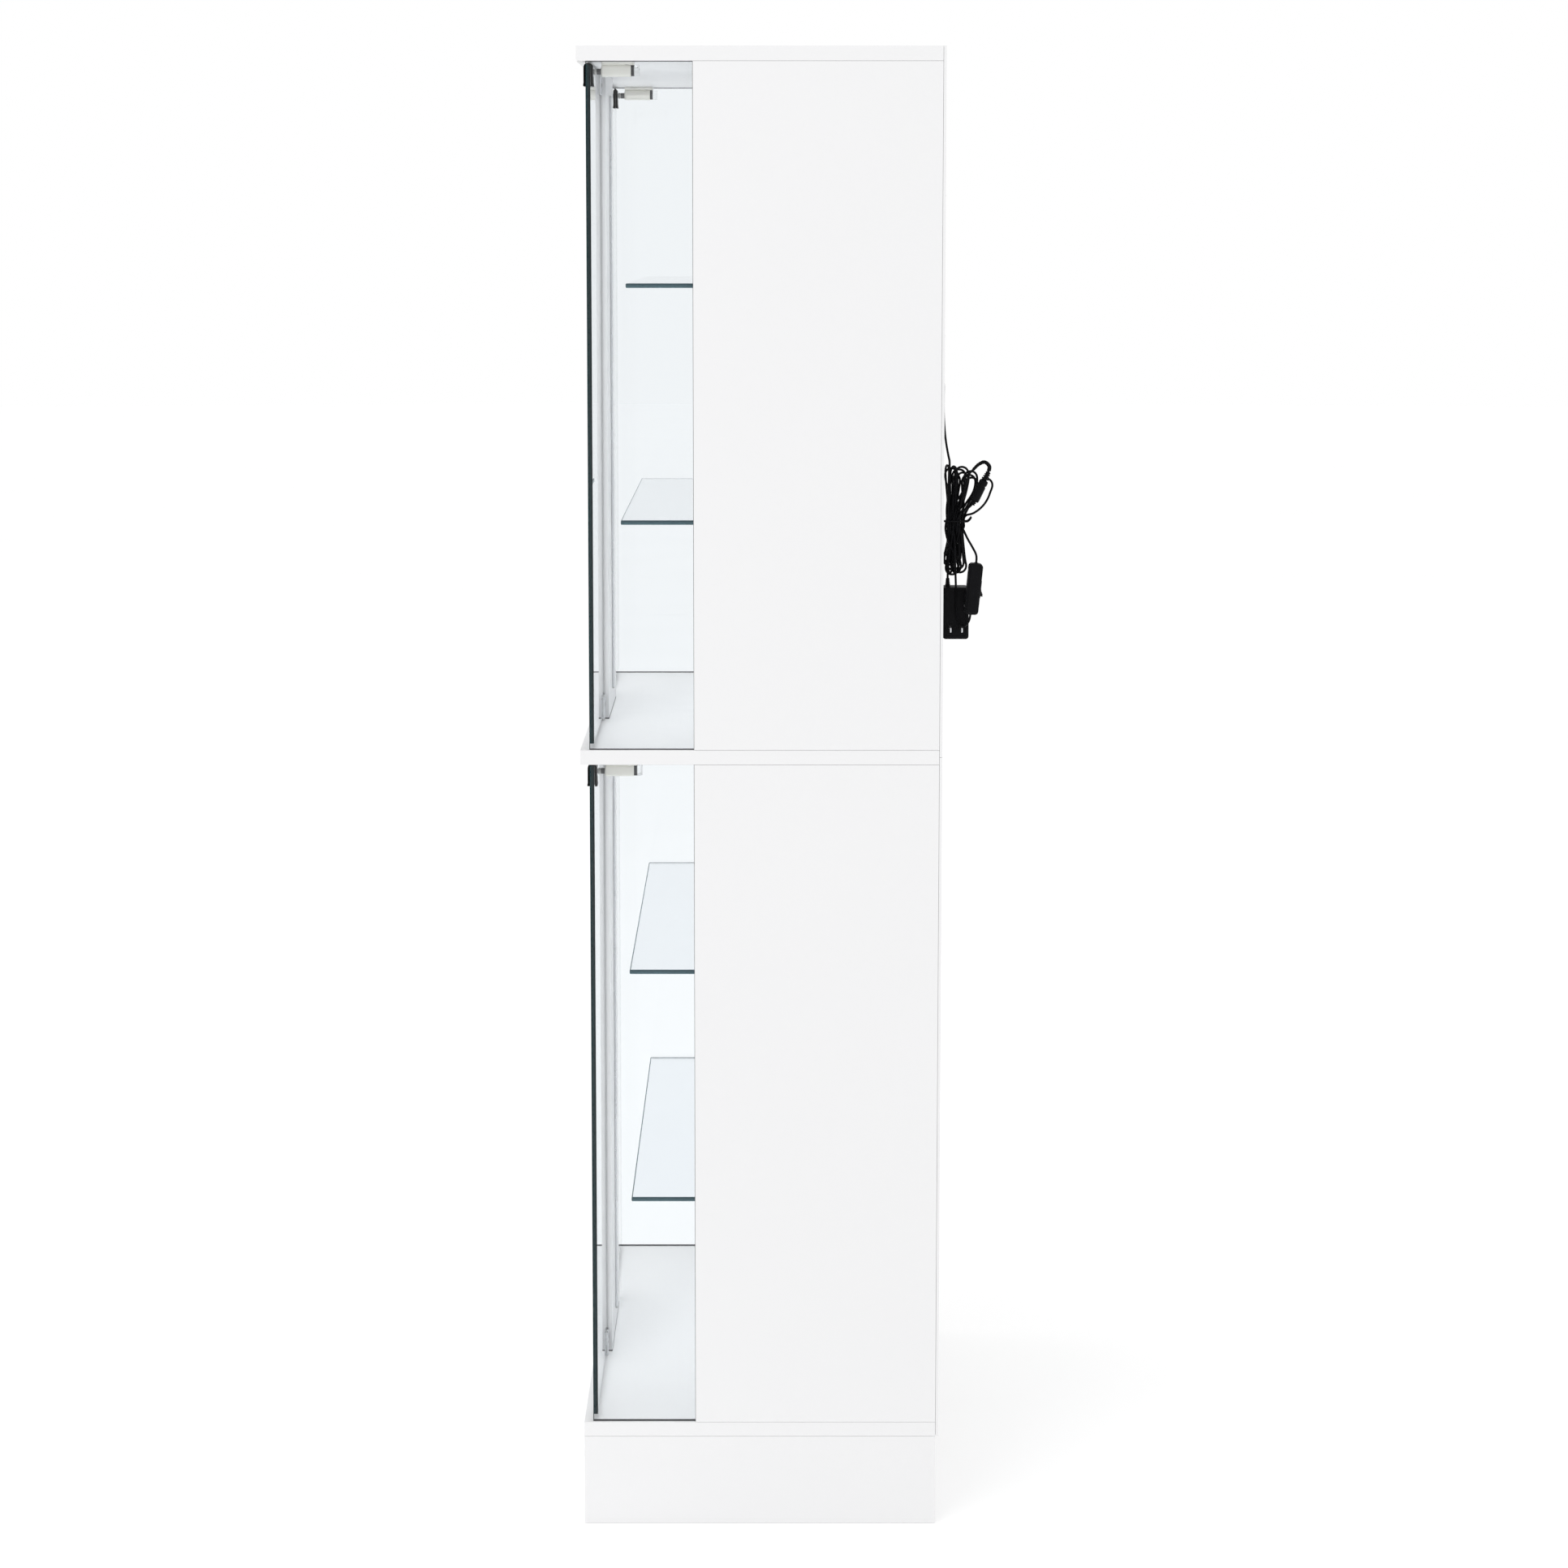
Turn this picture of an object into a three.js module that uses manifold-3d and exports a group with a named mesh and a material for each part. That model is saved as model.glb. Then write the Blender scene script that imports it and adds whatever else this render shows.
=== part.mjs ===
// Curio cabinet: a two-tier, floor-standing display case of white laminated board and clear glass,
// with four pivoting glass doors, push catches, glass shelves, light bars and a low-voltage cord set.
// Millimetres, +Z up, front faces -Y, +X on the right seen from the front. The origin is on the
// floor, under the middle of the case.

import * as THREE from 'three';
import { mergeVertices } from 'three/addons/utils/BufferGeometryUtils.js';
import Module from 'manifold-3d';

const wasm = await Module();
wasm.setup();

// ---------- Driving dimensions ----------

const WIDTH = 800;
const DEPTH = 400;
const HEIGHT = 1650;
const BOARD = 16; // laminated board
const BACK = 3; // back board
const GLASS = 5;
const GAP = 0.3; // between pieces that touch
const PLINTH_HEIGHT = 102;
const BAY_HEIGHT = (HEIGHT - PLINTH_HEIGHT - 3 * BOARD) / 2; // clear height of one tier

const SIDE_PANEL_FRONT = -74; // front edge of the opaque part of each side
const SIDE_GLASS_FRONT = -190;
const SIDE_GLASS_INSET = 5; // outer face of the side glass, in from the boards' ends
const GROOVE_DEPTH = 8; // side panel's groove for the glass
const BOARD_GROOVE_DEPTH = 5; // boards' grooves for the glass

const CENTRE_PANEL_HALF = 110;
const CENTRE_PANEL_FRONT = -191;
const CENTRE_PANEL_THICK = 12;

const DOOR_FRONT = -190;
const DOOR_INNER = 113; // from the middle of the case to the door's hinged edge
const DOOR_OUTER = 387.5; // and to its free edge
const DOOR_FOOT = 6; // gap under a door
const DOOR_HEAD = 3; // gap over a door
const PIVOT_X = 125;
const PIVOT_PIN = 5; // diameter
const PIVOT_PIN_LENGTH = 7; // into the board
const SHOE_LENGTH = 30;
const SHOE_HEIGHT = 24;
const SHOE_WALL = 1.7;

const CLIP_WIDTH = 25;
const CLIP_HEIGHT = 25;
const CLIP_THICK = 10.4; // over the glass and both walls

const CATCH_X = 370;
const CATCH_WIDTH = 14;
const CATCH_HEIGHT = 13;
const CATCH_FLANGE = 2.8;
const CATCH_FLANGE_WIDTH = 26;
const CATCH_FRONT = -173.4;
const CATCH_LENGTH = 35.6;
const CATCH_CAP = 6;
const CATCH_AXIS_DROP = 10.4; // plunger's axis under the board
const PLUNGER_RADIUS = 3.6;
const PLUNGER_TIP = -181.8;
const PLUNGER_DEPTH = 14; // of the stem inside the housing
const CATCH_BORE_DEPTH = 26;

// Shelf middle over the floor of its tier, and how far its front edge is from the board's front.
const SHELVES = {
  lower: [{ up: 254.5, setback: 54 }, { up: 514.5, setback: 53 }],
  upper: [{ up: 250.5, setback: 45.5 }, { up: 509, setback: 52 }],
};
const SHELF_DEPTH = 340;

const LIGHT_WIDTH = 10;
const LIGHT_THICK = 2.4;
const LIGHT_END = 24; // from each end of the tier

const CORD = 2.5; // cord's diameter
const CORD_SIDES = 8;
const CORD_X = 300; // middle of the cord set
const EXIT_Z = 1290; // where the cord leaves the back
const GROMMET_HOLE = 10; // diameter

// ---------- Levels and faces that follow ----------

const HALF_WIDTH = WIDTH / 2;
const FRONT = -DEPTH / 2;
const REAR = DEPTH / 2; // rear face of the back boards
const CARCASS_REAR = REAR - BACK - GAP;
const INNER_FACE = HALF_WIDTH - BOARD; // inner face of a side panel
const BOTTOM_Z = PLINTH_HEIGHT;
const MIDDLE_Z = BOTTOM_Z + BOARD + BAY_HEIGHT;
const TOP_Z = HEIGHT - BOARD;
const TIERS = {
  lower: { floor: BOTTOM_Z + BOARD, head: MIDDLE_Z },
  upper: { floor: MIDDLE_Z + BOARD, head: TOP_Z },
};
const SIDES = { left: -1, right: 1 };
const DOOR_MIDDLE = DOOR_FRONT + GLASS / 2;
const SIDE_GLASS_OUTER = HALF_WIDTH - SIDE_GLASS_INSET;
const SIDE_GLASS_REAR = SIDE_PANEL_FRONT + GROOVE_DEPTH;

// ---------- Materials ----------

const paint = (color, roughness, metalness = 0) => () =>
  new THREE.MeshStandardMaterial({ color, roughness, metalness });

const clear = (color, opacity) => () => {
  const look = new THREE.MeshStandardMaterial({ color, roughness: 0.05, metalness: 0 });
  look.transparent = true;
  look.opacity = opacity;
  return look;
};

const whiteBoard = paint(0xf6f6f6, 0.35);
const backBoard = paint(0xf1f1f2, 0.45);
const glass = clear(0xcfe0de, 0.3);
const satinMetal = paint(0xc9ccd0, 0.3, 0.9);
const blackPlastic = paint(0x15171a, 0.45);
const creamPlastic = paint(0xe4e2da, 0.5);
const greyPlastic = paint(0x77787a, 0.5);
const lightLens = paint(0xfafafc, 0.25);
const cordRubber = paint(0x0d0d0f, 0.6);

// ---------- Geometry helpers ----------

/** A box between two corners, whichever way round they are given. */
function box([x0, y0, z0], [x1, y1, z1]) {
  const geometry = new THREE.BoxGeometry(Math.abs(x1 - x0), Math.abs(y1 - y0), Math.abs(z1 - z0));
  return geometry.translate((x0 + x1) / 2, (y0 + y1) / 2, (z0 + z1) / 2);
}

/** A cylinder along x, y or z, from one point and of a given length. */
function rod(axis, [x, y, z], radius, length, sides = 20) {
  const geometry = new THREE.CylinderGeometry(radius, radius, length, sides);
  geometry.translate(0, length / 2, 0);
  if (axis === 'x') geometry.rotateZ(-Math.PI / 2);
  if (axis === 'z') geometry.rotateX(Math.PI / 2);
  return geometry.translate(x, y, z);
}

/** An outline drawn across (first) and up (second), extruded along +X from x. */
function alongX(shape, x, length, curveSegments = 6) {
  const geometry = new THREE.ExtrudeGeometry(shape, { depth: length, bevelEnabled: false, curveSegments });
  geometry.rotateX(Math.PI / 2);
  geometry.rotateZ(Math.PI / 2);
  return geometry.translate(x, 0, 0);
}

/** An outline drawn in X and Y, extruded upwards from z. */
function alongZ(shape, z, length, curveSegments = 6) {
  const geometry = new THREE.ExtrudeGeometry(shape, { depth: length, bevelEnabled: false, curveSegments });
  return geometry.translate(0, 0, z);
}

/** A round-cornered rectangle about a middle point. */
function roundedRectangle(x, y, width, height, radius, Kind = THREE.Shape) {
  const [a, b] = [width / 2 - radius, height / 2 - radius];
  const outline = new Kind();
  outline.absarc(x + a, y - b, radius, -Math.PI / 2, 0);
  outline.absarc(x + a, y + b, radius, 0, Math.PI / 2);
  outline.absarc(x - a, y + b, radius, Math.PI / 2, Math.PI);
  outline.absarc(x - a, y - b, radius, Math.PI, 1.5 * Math.PI);
  outline.closePath();
  return outline;
}

/** A round cord along a smooth curve through the points. */
function cordAlong(points, diameter = CORD) {
  const path = new THREE.CatmullRomCurve3(points.map((p) => new THREE.Vector3(...p)), false, 'centripetal');
  const section = new THREE.Shape();
  for (let i = 0; i < CORD_SIDES; i += 1) {
    const angle = (2 * Math.PI * i) / CORD_SIDES;
    const corner = [(diameter / 2) * Math.cos(angle), (diameter / 2) * Math.sin(angle)];
    if (i === 0) section.moveTo(...corner);
    else section.lineTo(...corner);
  }
  section.closePath();
  const steps = Math.ceil(path.getLength() / (2.2 * diameter));
  return new THREE.ExtrudeGeometry(section, { steps, extrudePath: path, bevelEnabled: false });
}

/** A body of revolution about +Z from [radius, height] points. */
function turned(profile, sides = 20) {
  const geometry = new THREE.LatheGeometry(profile.map(([r, h]) => new THREE.Vector2(r, h)), sides);
  return geometry.rotateX(Math.PI / 2);
}

function toManifold(geometry) {
  const bare = geometry.clone();
  bare.deleteAttribute('normal');
  bare.deleteAttribute('uv');
  const merged = mergeVertices(bare, 1e-4);
  return new wasm.Manifold(new wasm.Mesh({
    numProp: 3,
    vertProperties: new Float32Array(merged.attributes.position.array),
    triVerts: new Uint32Array(merged.index.array),
  }));
}

function toGeometry(manifold) {
  const mesh = manifold.getMesh();
  const geometry = new THREE.BufferGeometry();
  geometry.setAttribute('position', new THREE.BufferAttribute(mesh.vertProperties, 3));
  geometry.setIndex(new THREE.BufferAttribute(mesh.triVerts, 1));
  geometry.computeVertexNormals();
  return geometry;
}

const cut = (base, tools) =>
  toGeometry(tools.reduce((rest, tool) => rest.subtract(toManifold(tool)), toManifold(base)));

const join = (first, ...others) =>
  toGeometry(others.reduce((sum, other) => sum.add(toManifold(other)), toManifold(first)));

const cabinet = new THREE.Group();
cabinet.name = 'curio_cabinet';

function place(name, geometry, material, parent = cabinet) {
  const mesh = new THREE.Mesh(geometry, material());
  mesh.name = name;
  parent.add(mesh);
}

// ---------- Plinth ----------

function addPlinth() {
  const top = PLINTH_HEIGHT - GAP;
  for (const [side, sign] of Object.entries(SIDES)) {
    const board = box([sign * INNER_FACE, FRONT, 0], [sign * HALF_WIDTH, CARCASS_REAR, top]);
    place(`plinth_${side}`, board, whiteBoard);
  }
  const reach = INNER_FACE - GAP;
  place('plinth_front', box([-reach, FRONT, 0], [reach, FRONT + BOARD, top]), whiteBoard);
  place('plinth_back', box([-reach, CARCASS_REAR - BOARD, 0], [reach, CARCASS_REAR, top]), whiteBoard);
}

// ---------- Horizontal boards, with grooves for the side glass and sockets for the door pivots ----------

function glassGroove(sign, z0, z1) {
  return box(
    [sign * (SIDE_GLASS_OUTER + GAP), SIDE_GLASS_FRONT - GAP, z0],
    [sign * (SIDE_GLASS_OUTER - GLASS - GAP), SIDE_GLASS_REAR + GAP, z1],
  );
}

function pivotSocket(sign, z0, z1) {
  const radius = PIVOT_PIN / 2 + 2 * GAP;
  return rod('z', [sign * PIVOT_X, DOOR_MIDDLE, z0], radius, z1 - z0);
}

function addBoard(name, z, { above, below }) {
  const tools = [];
  const socket = PIVOT_PIN_LENGTH + GAP;
  for (const sign of Object.values(SIDES)) {
    if (above) {
      const face = z + BOARD;
      tools.push(glassGroove(sign, face - BOARD_GROOVE_DEPTH - GAP, face + 1));
      tools.push(pivotSocket(sign, face - socket, face + 1));
    }
    if (below) {
      tools.push(glassGroove(sign, z - 1, z + BOARD_GROOVE_DEPTH + GAP));
      tools.push(pivotSocket(sign, z - 1, z + socket));
    }
  }
  const board = box([-HALF_WIDTH, FRONT, z], [HALF_WIDTH, CARCASS_REAR, z + BOARD]);
  place(name, cut(board, tools), whiteBoard);
}

// ---------- Uprights and glass that stay still ----------

function addSidePanel(tier, side) {
  const sign = SIDES[side];
  const { floor, head } = TIERS[tier];
  const panel = box(
    [sign * INNER_FACE, SIDE_PANEL_FRONT, floor + GAP],
    [sign * HALF_WIDTH, CARCASS_REAR, head - GAP],
  );
  const groove = box(
    [sign * (SIDE_GLASS_OUTER + GAP), SIDE_PANEL_FRONT - 1, floor - 1],
    [sign * (SIDE_GLASS_OUTER - GLASS - GAP), SIDE_GLASS_REAR + GAP, head + 1],
  );
  place(`side_panel_${tier}_${side}`, cut(panel, [groove]), whiteBoard);
}

function addSideGlass(tier, side) {
  const sign = SIDES[side];
  const { floor, head } = TIERS[tier];
  const pane = box(
    [sign * (SIDE_GLASS_OUTER - GLASS), SIDE_GLASS_FRONT, floor - BOARD_GROOVE_DEPTH],
    [sign * SIDE_GLASS_OUTER, SIDE_GLASS_REAR, head + BOARD_GROOVE_DEPTH],
  );
  place(`side_glass_${tier}_${side}`, pane, glass);
}

function addCentrePanel(tier) {
  const { floor, head } = TIERS[tier];
  const rear = CENTRE_PANEL_FRONT + CENTRE_PANEL_THICK;
  const panel = box(
    [-CENTRE_PANEL_HALF, CENTRE_PANEL_FRONT, floor + GAP],
    [CENTRE_PANEL_HALF, rear, head - GAP],
  );
  place(`centre_panel_${tier}`, panel, whiteBoard);

  const bar = new THREE.Shape();
  const half = LIGHT_WIDTH / 2;
  bar.moveTo(-half, 0);
  bar.lineTo(half, 0);
  bar.lineTo(half, LIGHT_THICK / 2);
  bar.quadraticCurveTo(0, 1.5 * LIGHT_THICK, -half, LIGHT_THICK / 2);
  bar.closePath();
  const light = alongZ(bar, floor + LIGHT_END, head - floor - 2 * LIGHT_END);
  place(`light_bar_${tier}`, light.translate(0, rear + GAP, 0), lightLens);
}

function addBackBoard(tier) {
  const bottom = tier === 'lower' ? BOTTOM_Z : MIDDLE_Z + BOARD / 2 + GAP / 2;
  const top = tier === 'lower' ? MIDDLE_Z + BOARD / 2 - GAP / 2 : HEIGHT;
  const sheet = box([-HALF_WIDTH, REAR - BACK, bottom], [HALF_WIDTH, REAR, top]);
  const hole = rod('y', [CORD_X, REAR - BACK - 1, EXIT_Z], GROMMET_HOLE / 2, BACK + 2);
  place(`back_board_${tier}`, tier === 'upper' ? cut(sheet, [hole]) : sheet, backBoard);
}

function addShelf(tier, index) {
  const { up, setback } = SHELVES[tier][index];
  const middle = TIERS[tier].floor + up;
  const front = FRONT + setback;
  const reach = INNER_FACE - GAP;
  const shelf = box([-reach, front, middle - GLASS / 2], [reach, front + SHELF_DEPTH, middle + GLASS / 2]);
  place(`shelf_${tier}_${index + 1}`, shelf, glass);
}

// ---------- Doors ----------

/** A clamp over the door's top or bottom edge at the pivot, with its pin. up is 1 at the top. */
function pivotShoe(sign, edge, up) {
  const half = GLASS / 2 + GAP + SHOE_WALL;
  const cap = edge + up * (GAP + SHOE_WALL);
  const body = box(
    [sign * DOOR_INNER, DOOR_MIDDLE - half, edge - up * SHOE_HEIGHT],
    [sign * (DOOR_INNER + SHOE_LENGTH), DOOR_MIDDLE + half, cap],
  );
  const slot = box(
    [sign * (DOOR_INNER - 1), DOOR_MIDDLE - GLASS / 2 - GAP, edge - up * (SHOE_HEIGHT + 1)],
    [sign * (DOOR_INNER + SHOE_LENGTH + 1), DOOR_MIDDLE + GLASS / 2 + GAP, edge + up * GAP],
  );
  const gap = up > 0 ? DOOR_HEAD : DOOR_FOOT;
  const tip = edge + up * (gap + PIVOT_PIN_LENGTH);
  const start = cap - up * SHOE_WALL / 2;
  const pin = rod('z', [sign * PIVOT_X, DOOR_MIDDLE, Math.min(start, tip)], PIVOT_PIN / 2, Math.abs(tip - start));
  return join(cut(body, [slot]), pin);
}

/** The black clip over the top edge near the free end, which the catch holds. */
function strikeClip(sign, edge) {
  const outer = CLIP_THICK / 2;
  const inner = GLASS / 2 + GAP;
  const flare = 0.5; // how far the lower lips turn out
  const bottom = edge - CLIP_HEIGHT + 1.5;
  const crown = edge + 1.6;
  const shoulder = edge - 3;
  const outline = new THREE.Shape();
  outline.moveTo(inner, bottom);
  outline.lineTo(outer + flare, bottom);
  outline.lineTo(outer + flare, bottom + 2);
  outline.lineTo(outer, bottom + 5);
  outline.lineTo(outer, shoulder);
  outline.quadraticCurveTo(outer, crown, 0, crown);
  outline.quadraticCurveTo(-outer, crown, -outer, shoulder);
  outline.lineTo(-outer, bottom + 5);
  outline.lineTo(-outer - flare, bottom + 2);
  outline.lineTo(-outer - flare, bottom);
  outline.lineTo(-inner, bottom);
  outline.lineTo(-inner, edge + GAP);
  outline.lineTo(inner, edge + GAP);
  outline.closePath();
  const start = sign > 0 ? CATCH_X - CLIP_WIDTH / 2 : -CATCH_X - CLIP_WIDTH / 2;
  return alongX(outline, start, CLIP_WIDTH).translate(0, DOOR_MIDDLE, 0);
}

function addDoor(tier, side) {
  const sign = SIDES[side];
  const bottom = TIERS[tier].floor + DOOR_FOOT;
  const top = TIERS[tier].head - DOOR_HEAD;
  const pane = box([sign * DOOR_INNER, DOOR_FRONT, bottom], [sign * DOOR_OUTER, DOOR_FRONT + GLASS, top]);
  const door = new THREE.Group();
  place(`door_glass_${tier}_${side}`, pane, glass, door);
  place(`pivot_shoe_top_${tier}_${side}`, pivotShoe(sign, top, 1), satinMetal, door);
  place(`pivot_shoe_bottom_${tier}_${side}`, pivotShoe(sign, bottom, -1), satinMetal, door);
  place(`strike_clip_${tier}_${side}`, strikeClip(sign, top), blackPlastic, door);
  cabinet.add(door);
}

// ---------- Push catches ----------

function addCatch(tier, side) {
  const x = SIDES[side] * CATCH_X;
  const ceiling = TIERS[tier].head - GAP;
  const axis = ceiling - CATCH_AXIS_DROP;
  const flangeUnder = ceiling - CATCH_FLANGE;
  const rear = CATCH_FRONT + CATCH_LENGTH;
  const flange = box(
    [x - CATCH_FLANGE_WIDTH / 2, CATCH_FRONT, flangeUnder],
    [x + CATCH_FLANGE_WIDTH / 2, rear, ceiling],
  );
  const sleeve = alongZ(
    roundedRectangle(x, (CATCH_FRONT + rear) / 2, CATCH_WIDTH, CATCH_LENGTH, 1.5),
    flangeUnder - CATCH_HEIGHT,
    CATCH_HEIGHT + 1,
    2,
  );
  const cap = box(
    [x - CATCH_WIDTH / 2 + 0.6, rear - 1, flangeUnder - CATCH_HEIGHT + 0.6],
    [x + CATCH_WIDTH / 2 - 0.6, rear + CATCH_CAP, flangeUnder - 0.6],
  );
  const bore = rod('y', [x, CATCH_FRONT - 1, axis], PLUNGER_RADIUS + GAP, CATCH_BORE_DEPTH + 1);
  place(`catch_housing_${tier}_${side}`, cut(join(flange, sleeve, cap), [bore]), creamPlastic);

  const neck = PLUNGER_RADIUS - 0.8;
  const length = CATCH_FRONT + PLUNGER_DEPTH - PLUNGER_TIP;
  const profile = [
    [0, 0],
    [neck, 0],
    [neck, 1.2],
    [PLUNGER_RADIUS, 1.6],
    [PLUNGER_RADIUS, 3.2],
    [neck, 3.5],
    [neck, 4.3],
    [PLUNGER_RADIUS, 4.6],
    [PLUNGER_RADIUS, length],
    [0, length],
  ];
  const plunger = turned(profile, 16).rotateX(-Math.PI / 2).translate(x, PLUNGER_TIP, axis);
  place(`catch_plunger_${tier}_${side}`, plunger, greyPlastic);
}

// ---------- Cord set behind the case ----------

// Places on the cord set: [across from CORD_X, behind the back boards, up].
const behind = ([across, back, up]) => [CORD_X + across, REAR + back, up];

const HANK = { bottom: 1066, top: 1195, tie: 1130, half: 16 };
const LEAD_ROUTE = [
  [0, -1.4, EXIT_Z + 0.6],
  [0, 1.2, EXIT_Z - 0.2],
  [0, 3, EXIT_Z - 3.4],
  [0, 3.6, EXIT_Z - 8],
  [0, 3.5, EXIT_Z - 20],
  [0, 3.7, EXIT_Z - 40],
  [0.5, 6, EXIT_Z - 68],
  [1, 9.5, EXIT_Z - 88],
  [1, 11, HANK.top + GAP + 0.4],
];

const CONNECTOR = { x: 25, top: [52.5, 1186], bottom: [37, 1154], radius: 5 };
const CONNECTOR_ROUTE = [
  [25, 53.2, 1187.6],
  [25, 53.6, 1193],
  [24.6, 48.5, 1197.6],
  [23.5, 42, 1195],
  [21, 36, 1189],
  [HANK.half + 1.9, 31, 1183],
];

const SWITCH = { x: 34, back: 36.4, z: 1057.3, length: 57, thick: 15.8, wide: 20, lean: 5.8 };
const SWITCH_ROUTE = [
  [HANK.half + 1.9, 26.5, 1120],
  [20.5, 30, 1112.5],
  [27, 36, 1102],
  [32.6, 39.6, 1094],
  [34, 39.4, 1086.2],
];

const ADAPTER = { half: 18, front: 3.4, rear: 32.4, bottom: 999, top: 1057 };
const BLADE = { length: 16, wide: 6.3, thick: 1.5, pitch: 12.7, z: 1011 };
const RELIEF = { across: 6, back: 9, length: 9.6 };
const RETURN_ROUTE = [
  [34, 33.3, 1028.4],
  [33.6, 31.5, 1020.5],
  [30.5, 26, 1014.8],
  [25.5, 20.5, 1019.5],
  [22.4, 18.5, 1030],
  [21, 18, 1045],
  [20, 17.5, 1062],
  [HANK.half + 1.9, 17, 1078],
];

/** A flat rubber ring in the hole that the cord comes out of. */
function addGrommet() {
  const bore = CORD / 2 + 1.45; // the cord turns down inside it
  const sleeve = GROMMET_HOLE / 2 - GAP;
  const flange = 6.5;
  const proud = 0.9;
  const ring = turned([
    [bore, -BACK],
    [sleeve, -BACK],
    [sleeve, GAP],
    [flange, GAP],
    [flange - 0.5, proud + GAP],
    [bore, proud + GAP],
    [bore, -BACK],
  ]);
  place('cord_grommet', ring.rotateX(-Math.PI / 2).translate(CORD_X, REAR, EXIT_Z), cordRubber);
}

/** The folded and tied cord, as one solid: a fan above the tie and a narrower tail below. */
function addHank() {
  const [nearBack, waist] = [REAR + 3.5, { from: REAR + 5, to: REAR + 28 }];
  const fan = { radius: 21, middle: REAR + 24.5 };
  const tail = { radius: 12.5, middle: REAR + 16.5 };
  const outline = new THREE.Shape();
  outline.moveTo(tail.middle - tail.radius, HANK.bottom + tail.radius);
  outline.absarc(tail.middle, HANK.bottom + tail.radius, tail.radius, Math.PI, 2 * Math.PI);
  outline.lineTo(waist.to, HANK.tie - 4);
  outline.lineTo(waist.to, HANK.tie + 4);
  outline.lineTo(fan.middle + fan.radius, HANK.top - fan.radius);
  outline.absarc(fan.middle, HANK.top - fan.radius, fan.radius, 0, Math.PI);
  outline.lineTo(nearBack, HANK.top - fan.radius - 10);
  outline.lineTo(waist.from, HANK.tie + 4);
  outline.lineTo(waist.from, HANK.tie - 4);
  outline.closePath();
  place('cord_hank', alongX(outline, CORD_X - HANK.half, 2 * HANK.half), cordRubber);

  const middle = (waist.from + waist.to) / 2;
  const hollow = [2 * (HANK.half + GAP), waist.to - waist.from + 2 * GAP];
  const wall = 1.6;
  const band = roundedRectangle(CORD_X, middle, hollow[0] + 2 * wall, hollow[1] + 2 * wall, 3);
  band.holes.push(roundedRectangle(CORD_X, middle, hollow[0], hollow[1], 1, THREE.Path));
  place('cord_tie', alongZ(band, HANK.tie - 2, 4, 2), cordRubber);
}

/** The plug and socket that join the light's lead to the adapter's, with a ribbed relief on top. */
function addConnector() {
  const { x, top, bottom, radius } = CONNECTOR;
  const axis = new THREE.Vector3(0, top[0] - bottom[0], top[1] - bottom[1]);
  const length = axis.length();
  const seam = length * 0.55;
  const profile = [
    [0, 0],
    [radius - 1.2, 0],
    [radius, 2],
    [radius, seam - 1],
    [radius - 0.7, seam - 0.6],
    [radius - 0.7, seam + 0.6],
    [radius, seam + 1],
    [radius, length - 10],
    [radius - 1.5, length - 8.5],
  ];
  for (let rib = 0; rib < 3; rib += 1) {
    const start = length - 8 + rib * 2.7;
    profile.push([radius - 2.2, start], [radius - 2.2, start + 0.7]);
    profile.push([radius - 1.2 - 0.3 * rib, start + 0.9], [radius - 1.2 - 0.3 * rib, start + 2.1]);
  }
  profile.push([0, length + 0.1]);
  const geometry = turned(profile, 16);
  geometry.applyQuaternion(new THREE.Quaternion().setFromUnitVectors(new THREE.Vector3(0, 0, 1), axis.normalize()));
  geometry.translate(...behind([x, bottom[0], bottom[1]]));
  place('dc_connector', geometry, blackPlastic);
}

/** The in-line switch: a round-edged case that leans with the cord, and its rocker on the rear. */
function addSwitch() {
  const { x, back, z, length, thick, wide, lean } = SWITCH;
  const turn = new THREE.Group();
  turn.position.set(...behind([x, back, z]));
  turn.rotation.x = -THREE.MathUtils.degToRad(lean);
  const outline = roundedRectangle(0, 0, thick, length, 4);
  const pocket = box([-4.6, thick / 2 - 5.2, -8.6], [4.6, thick / 2 + 1, 8.6]);
  const body = alongX(outline, -wide / 2, wide, 4);
  place('switch_body', cut(body, [pocket]), blackPlastic, turn);

  const rocker = new THREE.Shape();
  const face = thick / 2;
  rocker.moveTo(face - 3, -7.6);
  rocker.lineTo(face + 3.2, -7.6);
  rocker.lineTo(face + 0.6, 0);
  rocker.lineTo(face + 0.2, 7.6);
  rocker.lineTo(face - 3, 7.6);
  rocker.closePath();
  place('switch_rocker', alongX(rocker, -4, 8), blackPlastic, turn);
  cabinet.add(turn);
}

/** The plug-in adapter, its two blades and the relief that its cord comes out of. */
function addAdapter() {
  const { half, front, rear, bottom, top } = ADAPTER;
  const middle = REAR + (front + rear) / 2;
  const block = alongZ(roundedRectangle(CORD_X, middle, 2 * half, rear - front, 3), bottom, top - bottom, 3);
  const blades = [-1, 1].map((sign) => {
    const y = middle + (sign * BLADE.pitch) / 2;
    return box(
      [CORD_X + half - 2, y - BLADE.thick / 2, BLADE.z - BLADE.wide / 2],
      [CORD_X + half + BLADE.length, y + BLADE.thick / 2, BLADE.z + BLADE.wide / 2],
    );
  });
  const relief = turned([
    [0, -2],
    [3, -2],
    [3, 1],
    [2, RELIEF.length],
    [0, RELIEF.length],
  ], 12).translate(...behind([RELIEF.across, RELIEF.back, top]));
  place('power_adapter', join(block, ...blades, relief), blackPlastic);
}

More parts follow.
